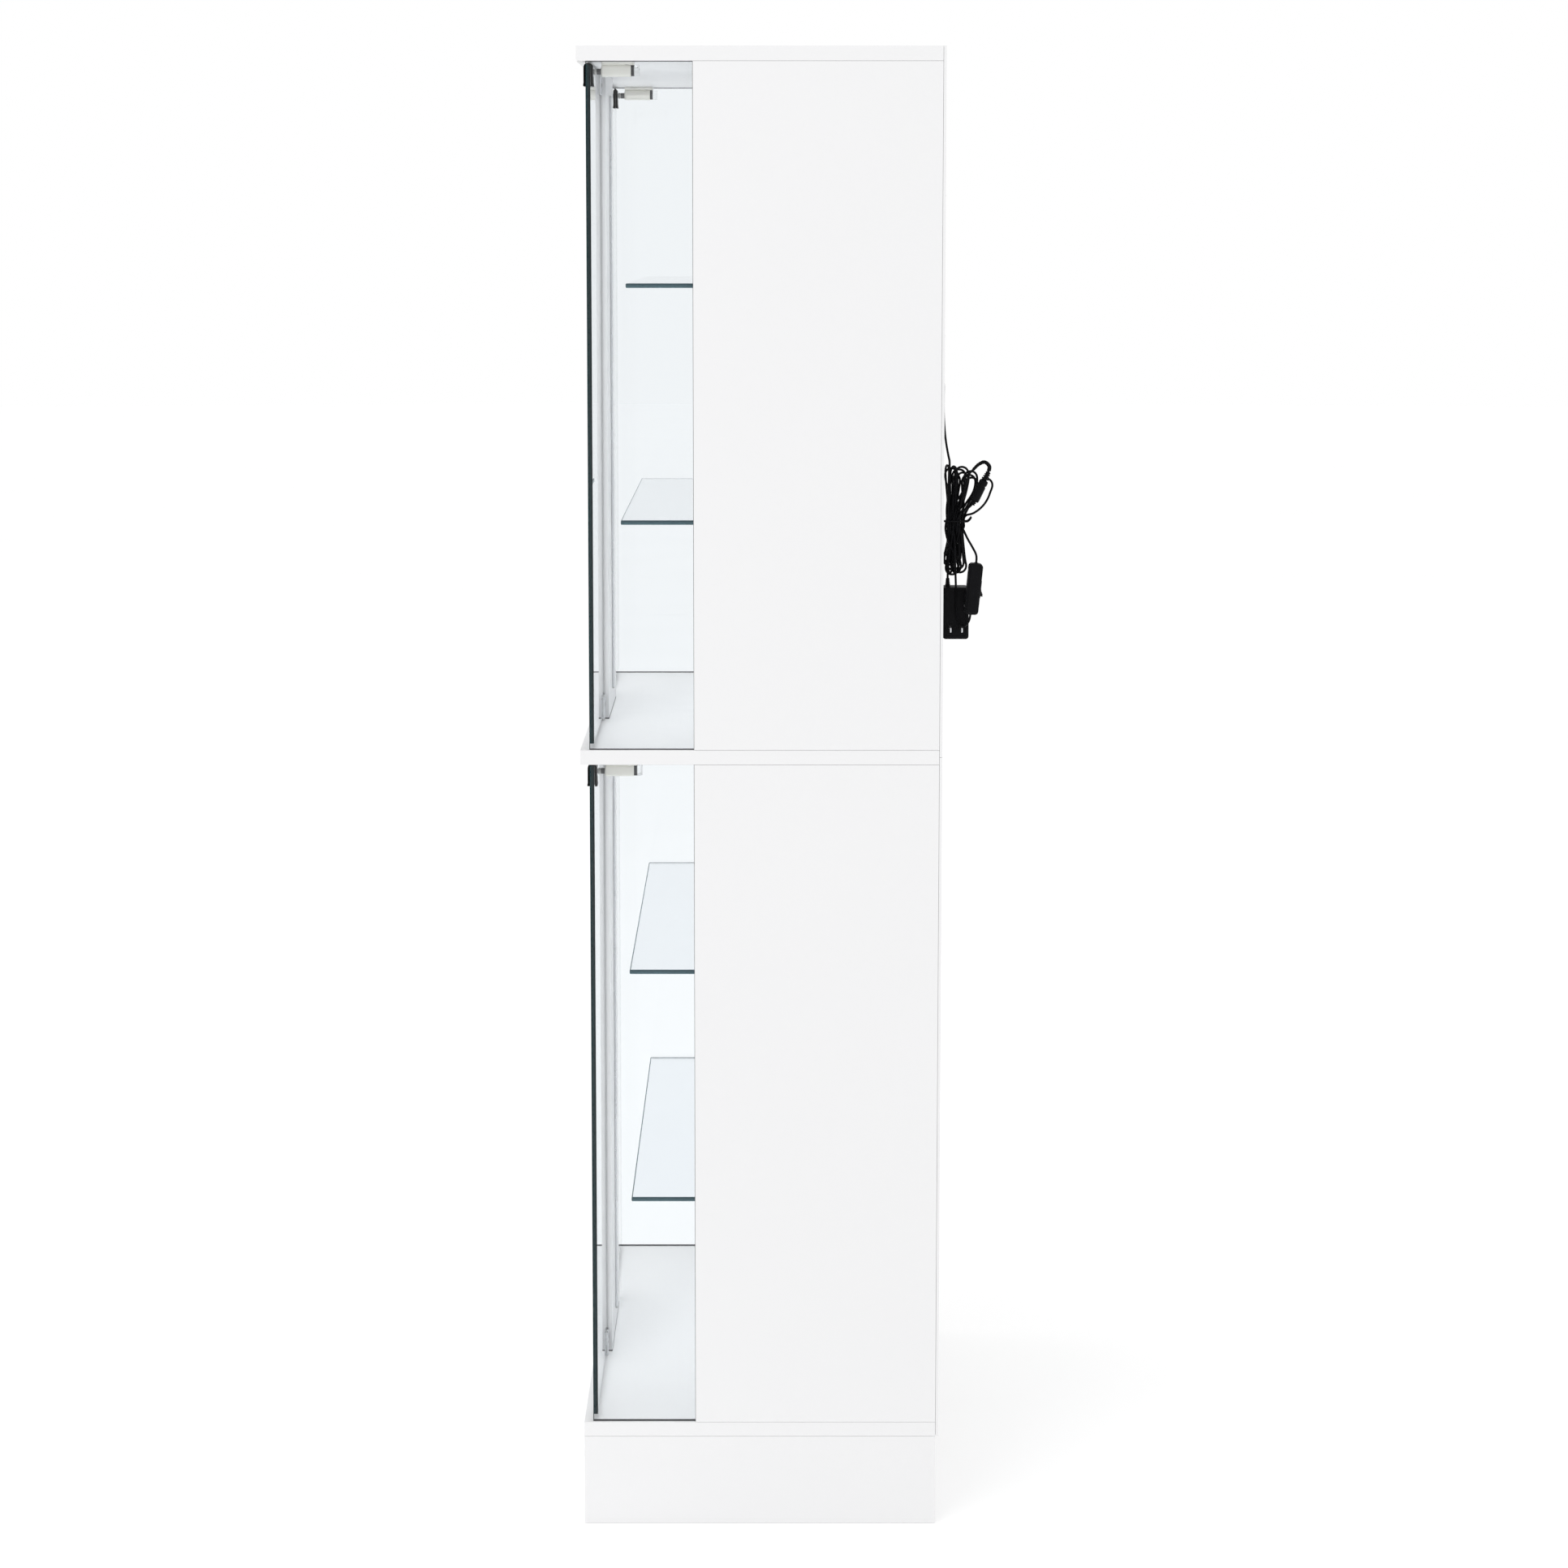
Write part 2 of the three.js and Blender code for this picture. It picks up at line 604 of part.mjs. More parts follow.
function addCordSet() {
  addGrommet();
  place('cord_lead', cordAlong(LEAD_ROUTE.map(behind)), cordRubber);
  addHank();
  addConnector();
  place('cord_to_connector', cordAlong(CONNECTOR_ROUTE.map(behind)), cordRubber);
  place('cord_to_switch', cordAlong(SWITCH_ROUTE.map(behind)), cordRubber);
  addSwitch();
  place('cord_from_switch', cordAlong(RETURN_ROUTE.map(behind)), cordRubber);
  addAdapter();
}

// ---------- The whole cabinet ----------

addPlinth();
addBoard('bottom_board', BOTTOM_Z, { above: true, below: false });
addBoard('middle_board', MIDDLE_Z, { above: true, below: true });
addBoard('top_board', TOP_Z, { above: false, below: true });
for (const tier of Object.keys(TIERS)) {
  addBackBoard(tier);
  addCentrePanel(tier);
  SHELVES[tier].forEach((_, index) => addShelf(tier, index));
  for (const side of Object.keys(SIDES)) {
    addSidePanel(tier, side);
    addSideGlass(tier, side);
    addDoor(tier, side);
    addCatch(tier, side);
  }
}
addCordSet();

export default cabinet;
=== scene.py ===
"""The curio cabinet's looks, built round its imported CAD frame. Metres, +Z up, front towards -Y."""

import math

import bmesh
import bpy
import numpy as np
from mathutils import Matrix, Vector


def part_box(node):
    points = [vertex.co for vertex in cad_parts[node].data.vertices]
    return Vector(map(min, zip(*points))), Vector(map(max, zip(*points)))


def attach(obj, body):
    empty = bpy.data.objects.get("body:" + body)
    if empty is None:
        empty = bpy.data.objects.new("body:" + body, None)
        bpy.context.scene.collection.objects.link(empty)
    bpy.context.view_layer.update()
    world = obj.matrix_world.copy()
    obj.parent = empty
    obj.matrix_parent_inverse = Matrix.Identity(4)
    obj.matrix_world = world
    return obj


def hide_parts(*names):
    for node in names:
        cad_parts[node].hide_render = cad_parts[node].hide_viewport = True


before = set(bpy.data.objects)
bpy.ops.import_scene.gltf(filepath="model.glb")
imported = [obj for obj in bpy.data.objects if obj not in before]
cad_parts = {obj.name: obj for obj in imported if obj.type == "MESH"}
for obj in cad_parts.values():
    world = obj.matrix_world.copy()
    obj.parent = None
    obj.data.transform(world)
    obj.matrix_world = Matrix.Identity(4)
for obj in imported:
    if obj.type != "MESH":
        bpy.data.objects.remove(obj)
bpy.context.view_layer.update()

MM = 0.001
SIDES = {"left": -1, "right": 1}
TIERS = ("lower", "upper")
PANEL_FACE = 384.0  # inner face of a side panel


def placed(name, data):
    """A new object in the scene."""
    obj = bpy.data.objects.new(name, data)
    bpy.context.scene.collection.objects.link(obj)
    return obj


# ---------- Camera ----------

CAMERA_PLACE = (4.731, 0.0, 1.446)
CAMERA_PITCH = 7.88  # degrees below the horizon
CAMERA_LENS = 90.8
CAMERA_SHIFT = 0.0145

camera_data = bpy.data.cameras.new("camera")
camera_data.sensor_width = 36
camera_data.lens = CAMERA_LENS
camera_data.shift_x = CAMERA_SHIFT
camera = placed("camera", camera_data)
camera.location = CAMERA_PLACE
camera.rotation_euler = (math.radians(90 - CAMERA_PITCH), 0, math.radians(90))
bpy.context.scene.camera = camera
bpy.context.scene.view_settings.view_transform = "Standard"

# ---------- Materials ----------


class Nodes:
    """A new material's nodes, with short ways to add and join them."""

    def __init__(self, name):
        self.material = bpy.data.materials.new(name)
        self.material.use_nodes = True
        self.tree = self.material.node_tree
        self.shader = self.tree.nodes["Principled BSDF"]
        self.place = self.add("ShaderNodeTexCoord").outputs["Object"]

    def add(self, kind, **settings):
        node = self.tree.nodes.new(kind)
        for key, value in settings.items():
            if hasattr(node, key):
                setattr(node, key, value)
            else:
                node.inputs[key].default_value = value
        return node

    def link(self, source, target):
        self.tree.links.new(source, target)

    def stretched(self, scale):
        """The place, squeezed by a different amount along each axis."""
        node = self.add("ShaderNodeMapping", Scale=scale)
        self.link(self.place, node.inputs["Vector"])
        return node.outputs["Vector"]

    def noise(self, scale, detail=3.0, vector=None, rough=0.5):
        node = self.add("ShaderNodeTexNoise", Scale=scale, Detail=detail, Roughness=rough)
        self.link(vector or self.place, node.inputs["Vector"])
        return node.outputs["Fac"]

    def spread(self, value, low, high, start=0.3, end=0.7):
        """value from start to end, carried to low to high."""
        node = self.add("ShaderNodeMapRange")
        for socket, number in zip(node.inputs[1:5], (start, end, low, high)):
            socket.default_value = number
        self.link(value, node.inputs["Value"])
        return node.outputs["Result"]

    def blend(self, factor, a, b):
        """Colour a where factor is 0 and b where it is 1. Either may be a socket."""
        node = self.add("ShaderNodeMix", data_type="RGBA")
        self.link(factor, node.inputs[0])
        for socket, colour in ((node.inputs[6], a), (node.inputs[7], b)):
            if isinstance(colour, tuple):
                socket.default_value = (*colour, 1)
            else:
                self.link(colour, socket)
        return node.outputs[2]

    def bump(self, *layers):
        """Adds bumps from (height socket, strength, depth in mm) layers."""
        normal = None
        for height, strength, depth in layers:
            node = self.add("ShaderNodeBump", Strength=strength, Distance=depth * MM)
            self.link(height, node.inputs["Height"])
            if normal:
                self.link(normal, node.inputs["Normal"])
            normal = node.outputs["Normal"]
        self.link(normal, self.shader.inputs["Normal"])

    def sockets(self, **values):
        names = {
            "metallic": "Metallic",
            "specular": "Specular IOR Level",
            "ior": "IOR",
            "transmission": "Transmission Weight",
            "glow": "Emission Strength",
        }
        for key, value in values.items():
            self.shader.inputs[names[key]].default_value = value


def by_ray(tree, rays, plain, other):
    """Joins two shaders: other for the two named kinds of ray and plain for the rest."""
    path, either, mix = (tree.nodes.new(f"ShaderNode{kind}") for kind in ("LightPath", "Math", "MixShader"))
    either.operation = "MAXIMUM"
    for ray, socket in zip(rays, either.inputs):
        tree.links.new(path.outputs[ray], socket)
    for source, socket in zip((either, plain, other), mix.inputs):
        tree.links.new(source.outputs[0], socket)
    return mix.outputs[0]


def tint(colour, amount):
    """The colour, darker or lighter."""
    return tuple(min(1.0, c * amount) for c in colour)


def moulded(name, colour, vary, roughness, grain, depth, scale=60.0, **sockets):
    """A surface with soft variation in colour and gloss over a fine moulded or pressed grain."""
    n = Nodes(name)
    patches = n.noise(scale, 4.0)
    base = n.blend(n.spread(patches, 0, 1), tint(colour, 1 - vary), tint(colour, 1 + vary))
    n.link(base, n.shader.inputs["Base Color"])
    gloss = n.noise(scale * 2.7, 3.0)
    n.link(n.spread(gloss, *roughness), n.shader.inputs["Roughness"])
    n.bump((n.noise(grain, 2.0), 0.6, depth), (n.noise(grain / 14, 2.0), 0.35, depth * 2))
    n.sockets(**sockets)
    return n.material


def laminate(name, colour, shade, grain):
    """Satin melamine on board: pressed pebble grain, faint clouding and a slight waviness."""
    n = Nodes(name)
    clouds = n.noise(3.5, 5.0, rough=0.6)
    specks = n.noise(240.0, 2.0)
    base = n.blend(n.spread(clouds, 0, 1), tint(colour, 1 - shade), colour)
    base = n.blend(n.spread(specks, 0, 0.25, 0.35, 0.75), base, tint(colour, 1 - 2 * shade))
    n.link(base, n.shader.inputs["Base Color"])
    n.link(n.spread(n.noise(28.0, 4.0), 0.3, 0.42), n.shader.inputs["Roughness"])
    n.bump((n.noise(grain, 3.0), 0.35, 0.05), (n.noise(9.0, 2.0), 0.12, 0.6))
    n.sockets(specular=0.4)
    return n.material


def clear_glass(name, colour, roughness=0.0):
    """Clear float glass. Lamps and soft light reach what is behind it."""
    n = Nodes(name)
    n.shader.inputs["Base Color"].default_value = (*colour, 1)
    n.link(n.spread(n.noise(7.0, 3.0), roughness, roughness + 0.002), n.shader.inputs["Roughness"])
    n.sockets(transmission=1.0, ior=1.28)
    through = n.add("ShaderNodeBsdfTransparent", Color=(0.955, 0.96, 0.962, 1))
    either = by_ray(n.tree, ("Is Shadow Ray", "Is Diffuse Ray"), n.shader, through)
    n.link(either, n.tree.nodes["Material Output"].inputs["Surface"])
    return n.material


def glass_edge(name, dark, middle, arris):
    """Ground edge of a pane: deep green, with lighter streaks along its middle and arrises."""
    n = Nodes(name)
    across = n.add("ShaderNodeAttribute", attribute_name="across").outputs["Fac"]
    long_streaks = n.noise(60.0, 2.0, n.stretched((1, 1, 0.003)))
    shift = n.add("ShaderNodeMath", operation="MULTIPLY_ADD")
    n.link(long_streaks, shift.inputs[0])
    shift.inputs[1].default_value = 0.04
    n.link(across, shift.inputs[2])
    ramp = n.add("ShaderNodeValToRGB")
    stops = [
        (0.0, arris), (0.1, middle), (0.2, dark), (0.44, tint(dark, 0.8)), (0.53, tint(middle, 0.55)),
        (0.62, tint(dark, 0.7)), (0.86, tint(dark, 0.4)), (1.0, dark),
    ]
    elements = ramp.color_ramp.elements
    while len(elements) < len(stops):
        elements.new(0.5)
    for element, (position, colour) in zip(elements, stops):
        element.position = position
        element.color = (*colour, 1)
    n.link(n.spread(shift.outputs[0], 0, 1, -0.98, 1.02), ramp.inputs["Fac"])
    grind = n.noise(900.0, 2.0, n.stretched((1, 1, 0.02)))
    base = n.blend(n.spread(grind, 0, 0.2), ramp.outputs["Color"], tint(dark, 0.6))
    n.link(base, n.shader.inputs["Base Color"])
    n.link(n.spread(grind, 0.2, 0.34), n.shader.inputs["Roughness"])
    n.bump((grind, 0.2, 0.02))
    n.sockets(specular=0.05)
    return n.material


def brushed(name, colour, roughness, direction):
    """Satin metal with fine lines drawn along one axis."""
    n = Nodes(name)
    lines = n.noise(1400.0, 3.0, n.stretched(direction))
    base = n.blend(n.spread(lines, 0, 1), tint(colour, 0.9), colour)
    n.link(base, n.shader.inputs["Base Color"])
    n.link(n.spread(n.noise(90.0, 3.0), *roughness), n.shader.inputs["Roughness"])
    n.bump((lines, 0.3, 0.02))
    n.sockets(metallic=1.0)
    return n.material


WHITE = (0.846, 0.846, 0.852)
MATS = {
    "laminate": laminate("white_laminate", WHITE, 0.008, 700.0),
    "back_board": laminate("white_back_board", (0.84, 0.84, 0.845), 0.02, 420.0),
    "glass": clear_glass("clear_glass", (0.936, 0.954, 0.965)),
    "shelf_glass": clear_glass("shelf_glass", (0.905, 0.925, 0.95)),
    "edge": glass_edge("glass_edge", (0.0035, 0.021, 0.025), (0.028, 0.098, 0.107), (0.01, 0.045, 0.051)),
    "shelf_edge": glass_edge("shelf_edge", (0.075, 0.14, 0.165), (0.12, 0.22, 0.25), (0.03, 0.06, 0.07)),
    "metal": brushed("satin_metal", (0.72, 0.73, 0.75), (0.24, 0.36), (1, 1, 0.03)),
    "screw": brushed("screw_steel", (0.55, 0.55, 0.56), (0.2, 0.4), (0.2, 1, 1)),
    "clip": moulded("black_clip", (0.0045, 0.005, 0.0055), 0.3, (0.28, 0.42), 1500.0, 0.03, specular=0.05),
    "cream": moulded("cream_plastic", (0.84, 0.83, 0.78), 0.02, (0.32, 0.46), 1300.0, 0.03, specular=0.4),
    "grey": moulded("grey_plastic", (0.15, 0.15, 0.155), 0.12, (0.35, 0.5), 1600.0, 0.03),
    "band": moulded("dark_band", (0.05, 0.05, 0.055), 0.2, (0.35, 0.5), 1600.0, 0.03),
    "nylon": moulded("white_nylon", (0.6, 0.6, 0.59), 0.03, (0.35, 0.5), 1500.0, 0.02),
    "clear_cap": clear_glass("clear_plastic", (0.93, 0.935, 0.935), 0.04),
    "lens": moulded("light_lens", (0.93, 0.94, 0.95), 0.02, (0.2, 0.3), 900.0, 0.02, scale=300.0),
    "jacket": moulded("cord_jacket", (0.003, 0.003, 0.004), 0.3, (0.34, 0.5), 700.0, 0.05, specular=0.09),
    "black": moulded(
        "black_plastic", (0.0035, 0.0035, 0.0045), 0.25, (0.36, 0.5), 900.0, 0.09, specular=0.09
    ),
    "gloss_black": moulded(
        "gloss_black", (0.0035, 0.0035, 0.004), 0.2, (0.2, 0.3), 900.0, 0.02, specular=0.14
    ),
    # painted shade: dark grey for the beads and strips that darken grooves, seams and the gaps under the
    # centre panels
    "shade_bead": moulded("grey_shade_bead", (0.085, 0.085, 0.09), 0.15, (0.45, 0.6), 900.0, 0.02),
    "floor": moulded(
        "pale_floor", (0.9, 0.9, 0.9), 0.01, (0.8, 0.9), 40.0, 0.2, scale=2.0, specular=0.0, glow=0.2
    ),
}

# ---------- Mesh helpers, in millimetres ----------


def prism(outline, axis, start, end, bevel=0.0, segments=2, limit=25):
    """An outline in the other two axes (in x, y, z order), drawn out along axis from start to end."""
    order = {"x": (1, 2, 0), "y": (0, 2, 1), "z": (0, 1, 2)}[axis]
    shape = bmesh.new()
    rings = []
    for level in (start, end):
        ring = []
        for u, v in outline:
            point = [0.0, 0.0, 0.0]
            point[order[0]], point[order[1]], point[order[2]] = u, v, level
            ring.append(shape.verts.new(point))
        rings.append(ring)
    shape.faces.new(rings[0])
    shape.faces.new(rings[1])
    count = len(outline)
    for i in range(count):
        j = (i + 1) % count
        shape.faces.new((rings[0][i], rings[0][j], rings[1][j], rings[1][i]))
    bmesh.ops.recalc_face_normals(shape, faces=shape.faces[:])
    return rounded(shape, bevel, segments, limit)


def rounded(shape, bevel, segments=2, limit=25):
    """Rounds every edge that turns by more than limit degrees."""
    if bevel:
        turn = math.radians(limit)
        sharp = [e for e in shape.edges if len(e.link_faces) == 2 and e.calc_face_angle(0) > turn]
        settings = {"offset": bevel, "segments": segments, "profile": 0.5, "affect": "EDGES"}
        bmesh.ops.bevel(shape, geom=sharp, clamp_overlap=True, **settings)
    return shape


def block(low, high, bevel=0.0, segments=2):
    """A box between two opposite corners."""
    (x0, y0, z0), (x1, y1, z1) = low, high
    return prism([(x0, y0), (x1, y0), (x1, y1), (x0, y1)], "z", z0, z1, bevel, segments)


def loft(rings):
    """Skin over a list of rings, each with the same number of points, and flat ends."""
    shape = bmesh.new()
    made = [[shape.verts.new(p) for p in ring] for ring in rings]
    count = len(rings[0])
    for a, b in zip(made, made[1:]):
        for i in range(count):
            j = (i + 1) % count
            shape.faces.new((a[i], a[j], b[j], b[i]))
    shape.faces.new(made[0][::-1])
    shape.faces.new(made[-1])
    bmesh.ops.remove_doubles(shape, verts=shape.verts[:], dist=1e-5)
    bmesh.ops.recalc_face_normals(shape, faces=shape.faces[:])
    return shape


def turned(profile, origin=(0, 0, 0), direction=(0, 0, 1), sides=40):
    """A body of revolution: [radius, height] points about a direction from the origin."""
    turn = Vector((0, 0, 1)).rotation_difference(Vector(direction).normalized()).to_matrix()
    rings = []
    for radius, height in profile:
        ring = []
        for i in range(sides):
            angle = 2 * math.pi * i / sides
            point = Vector((radius * math.cos(angle), radius * math.sin(angle), height))
            ring.append(turn @ point + Vector(origin))
        rings.append(ring)
    return loft(rings)


def rounded_outline(x, y, width, height, radius, steps=6):
    """Points round a round-cornered rectangle about a middle point."""
    radius = min(radius, width / 2 - 1e-3, height / 2 - 1e-3)
    points = []
    for corner, (sx, sy) in enumerate(((1, -1), (1, 1), (-1, 1), (-1, -1))):
        cx, cy = x + sx * (width / 2 - radius), y + sy * (height / 2 - radius)
        for k in range(steps + 1):
            angle = math.radians(90 * (corner - 1) + 90 * k / steps)
            points.append((cx + radius * math.cos(angle), cy + radius * math.sin(angle)))
    return points


def seen_from(outline, centre, count):
    """The outline's points at evenly spaced angles round a centre inside it."""
    dense = []
    for a, b in zip(outline, outline[1:] + outline[:1]):
        for t in np.linspace(0, 1, 12, endpoint=False):
            dense.append(np.array(a) + (np.array(b) - a) * t)
    dense = np.array(dense) - centre
    angles = np.unwrap(np.arctan2(dense[:, 1], dense[:, 0]))
    wanted = angles[0] + 2 * math.pi * np.arange(count) / count
    full = np.append(angles, angles[0] + 2 * math.pi)
    xs, ys = (np.append(dense[:, k], dense[0, k]) for k in (0, 1))
    return [(np.interp(w, full, xs) + centre[0], np.interp(w, full, ys) + centre[1]) for w in wanted]


def piece(name, parts, sharp=35):
    """One object from (bmesh in mm, material key) parts."""
    mesh = bpy.data.meshes.new(name)
    whole = bmesh.new()
    keys = []
    for shape, key in parts:
        if key not in keys:
            keys.append(key)
        part = bpy.data.meshes.new("part")
        shape.to_mesh(part)
        shape.free()
        first = len(whole.faces)
        whole.from_mesh(part)
        bpy.data.meshes.remove(part)
        whole.faces.ensure_lookup_table()
        for face in whole.faces[first:]:
            face.material_index = keys.index(key)
            face.smooth = True
    bmesh.ops.scale(whole, vec=(MM, MM, MM), verts=whole.verts[:])
    whole.to_mesh(mesh)
    whole.free()
    mesh.set_sharp_from_angle(angle=math.radians(sharp))
    for key in keys:
        mesh.materials.append(MATS[key])
    obj = placed(name, mesh)
    obj.modifiers.new("normals", "WEIGHTED_NORMAL").keep_sharp = True
    return obj


def settle(obj, body, nodes=()):
    """obj rides on a body and stands for CAD nodes, which it hides."""
    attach(obj, body)
    if nodes:
        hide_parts(*nodes)
    return obj


def cut_away(obj, shapes):
    """Takes the shapes, bmeshes in millimetres, out of obj."""
    cutter = piece("cutter", [(shape, "black") for shape in shapes])
    tool = obj.modifiers.new("cut", "BOOLEAN")
    tool.object = cutter
    tool.solver = "EXACT"
    obj.modifiers.move(len(obj.modifiers) - 1, 0)
    obj.modifiers.remove(obj.modifiers.get("normals"))
    shown = obj.evaluated_get(bpy.context.evaluated_depsgraph_get())
    mesh = bpy.data.meshes.new_from_object(shown)
    obj.modifiers.clear()
    old, obj.data = obj.data, mesh
    bpy.data.meshes.remove(old)
    bpy.data.objects.remove(cutter)
    mesh.set_sharp_from_angle(angle=math.radians(35))
    obj.modifiers.new("normals", "WEIGHTED_NORMAL").keep_sharp = True


def corners(node):
    """A CAD node's box in millimetres."""
    low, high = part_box(node)
    return np.array(low) / MM, np.array(high) / MM


# ---------- Cord set ----------

CORD_X, CORD_BACK = 300.0, 200.0  # middle of the cord set, and the rear face of the back boards
CORD_RADIUS = 1.25
STEP = 2.0  # between points of the cord
EXIT_Z = 1290.0

# Places on the cord set: [across from CORD_X, behind the back boards, up].
LEAD_ROUTE = [
    (0, -1.4, 1290.6), (0, 1.2, 1289.8), (0, 3, 1286.6), (0, 3.6, 1282), (0, 3.5, 1270),
    (0, 3.7, 1250), (0.5, 6, 1222), (1, 9.5, 1202), (1, 11, 1195.7),
]
CONNECTOR_BOTTOM, CONNECTOR_TOP, CONNECTOR_RADIUS = (25, 37, 1154), (25, 52.5, 1186), 5
CONNECTOR_ROUTE = [
    (25, 53.2, 1187.6), (25, 53.6, 1193), (24.6, 48.5, 1197.6), (23.5, 42, 1195),
    (21, 36, 1189), (17.9, 31, 1183),
]
LOOSE_LOOP = [
    (9, 33, 1146), (11, 43, 1166), (12, 50.5, 1182), (14, 55.5, 1176),
    (14.5, 56.3, 1165), (11, 49, 1149), (6, 35, 1138),
]
SWITCH_ROUTE = [
    (17.9, 26.5, 1120), (20.5, 30, 1112.5), (27, 36, 1102), (32.6, 39.6, 1094), (34, 39.4, 1086.2),
]
SWITCH = {"x": 34, "back": 36.4, "z": 1057.3, "length": 57, "thick": 15.8, "wide": 20, "lean": 5.8}
RETURN_ROUTE = [
    (34, 33.3, 1028.4), (33.6, 31.5, 1020.5), (30.5, 26, 1014.8), (25.5, 20.5, 1019.5),
    (22.4, 18.5, 1030), (21, 18, 1045), (20, 17.5, 1062), (17.9, 17, 1078),
]
RELIEF_ACROSS, RELIEF_BACK = 6, 9  # middle of the adapter's relief
ADAPTER_END = [(RELIEF_ACROSS, RELIEF_BACK, z) for z in (1067, 1057, 1040)]
TIE_Z = 1130.0
WAIST = {"middle": 16.5, "back": 10.6, "across": 4.6}  # the tied bundle's middle and its half sizes
HANK_BOX = ((-14.6, 1.6, 1067.4), (14.6, 44.2, 1195.2))
TURNS_FIRST, TURNS_SECOND, TURNS_THIRD = 4, 3, 2


def waist_slots():
    """Places through the tie, packed side by side, from the case outwards."""
    pitch = 2 * CORD_RADIUS + 0.15
    slots = []
    for row in range(-3, 4):
        for column in range(-7, 8):
            across = row * pitch * math.sqrt(3) / 2
            back = (column + 0.5 * (row % 2)) * pitch
            if (across / WAIST["across"]) ** 2 + (back / WAIST["back"]) ** 2 <= 1.12:
                slots.append((across, WAIST["middle"] + back))
    return sorted(slots, key=lambda s: s[1])


def upper_loop(rng, across, back, top, turn, half):
    """Points over one loop of the fan, from its rising side to its falling side."""
    dx, dy = half * math.sin(turn), half * math.cos(turn)
    lean = rng.uniform(-1.5, 1.5)
    flank = ((0.85, 2.6), (1, 1.25), (0.72, 0.3))  # distance out and down, in half widths
    rising = [(across - out * dx, back - out * dy, top - down * half) for out, down in flank]
    falling = [(across + out * dx, back + out * dy, top - down * half) for out, down in flank[::-1]]
    return [*rising, (across + lean * 0.3, back, top), *falling]


def cord_controls():
    """Control points along the whole cord, each with True where the route is held."""
    rng = np.random.default_rng(11)
    unused = waist_slots()
    controls = []

    def free(points):
        controls.extend((p, False) for p in points)

    def held(points):
        controls.extend((p, True) for p in points)

    def take(back):
        """The unused slot whose distance behind the case is nearest to back."""
        best = min(unused, key=lambda s: abs(s[1] - back) + 0.3 * abs(s[0]))
        unused.remove(best)
        return best

    def waist(slot, rising):
        levels = (TIE_Z - 6, TIE_Z, TIE_Z + 6)
        if not rising:
            levels = levels[::-1]
        free([(slot[0], slot[1], z) for z in levels])

    # Loops in turn: across, back, top or bottom, turn (0 shows its width to the side), half width.
    fans = iter([
        (2, 8, 1195, 1.35, 7.5), (-5, 13, 1191, 0.35, 7.6), (6, 15, 1194, 1.1, 7.6),
        (0, 21, 1190, 0.15, 8.2), (-8, 26, 1186, 0.7, 8.0), (8, 24, 1193, 0.25, 8.6),
        (2, 32, 1184, 0.1, 8.0), (-6, 36, 1180, 0.6, 7.8), (9, 34, 1188, 0.3, 8.0),
        (-10, 19, 1183, 1.2, 7.6),
    ])
    tails = iter([
        (0, 12, 1069, 1.2, 7.0), (4, 20, 1074, 0.3, 7.0), (-5, 10, 1078, 0.9, 7.0),
        (5, 14, 1068.5, 0.2, 7.2), (-3, 21, 1083, 1.3, 7.0), (8, 18, 1071, 0.9, 7.0),
        (-8, 15, 1072, 0.4, 7.0), (2, 22, 1070, 0.05, 6.8), (-6, 18, 1069, 1.1, 7.0),
        (7, 11, 1079, 0.6, 7.0), (0, 17, 1088, 0.1, 7.0),
    ])

    def tail():
        """Down from the tie, round a lower loop and back up to it."""
        across, back, bottom, turn, half = next(tails)
        loop = upper_loop(rng, across, back, 0.0, turn, half)
        free([(x, y, bottom - z) for x, y, z in loop[1:-1]])
        waist(take(back + rng.uniform(-3, 3)), True)

    def fan():
        """Up from the tie, over an upper loop and back down to it."""
        across, back, top, turn, half = next(fans)
        free(upper_loop(rng, across, back, top, turn, half))
        waist(take(12 + 0.42 * (back - 8) + rng.uniform(-2, 2)), False)

    held(LEAD_ROUTE)
    free([(1, 11.5, 1180), (0.5, 11, 1160)])
    waist(take(10), False)
    for _ in range(TURNS_FIRST):
        tail()
        fan()
    tail()
    free([(12, 27, 1143)])
    bottom, top = np.array(CONNECTOR_BOTTOM, float), np.array(CONNECTOR_TOP, float)
    axis = (top - bottom) / np.linalg.norm(top - bottom)
    free([tuple(bottom - 7 * axis)])
    held([tuple(bottom + t * (top - bottom)) for t in (0, 0.25, 0.5, 0.75, 1)])
    held(CONNECTOR_ROUTE)
    free([(12, 26, 1165), (8, 23, 1148)])
    waist(take(21), False)
    for _ in range(TURNS_SECOND):
        tail()
        fan()
    tail()
    free(LOOSE_LOOP)
    waist(take(27), False)
    free([(9, 25.5, 1122.5)])
    held(SWITCH_ROUTE)
    held([(34, 38.5, 1078), (34, 36.4, 1057.3), (34, 34.3, 1036.6)])
    held(RETURN_ROUTE)
    free([(12, 16.5, 1098), (6, 16, 1114)])
    waist(take(17), True)
    for _ in range(TURNS_THIRD):
        fan()
        tail()
    fan()
    free([(5, 11, 1095), (6, 9.4, 1078)])
    held(ADAPTER_END)
    return controls


def mixed(a, b, start, end, t):
    """The point at t on the line that is at a when t is start and at b when t is end."""
    return (end - t) / (end - start) * a + (t - start) / (end - start) * b


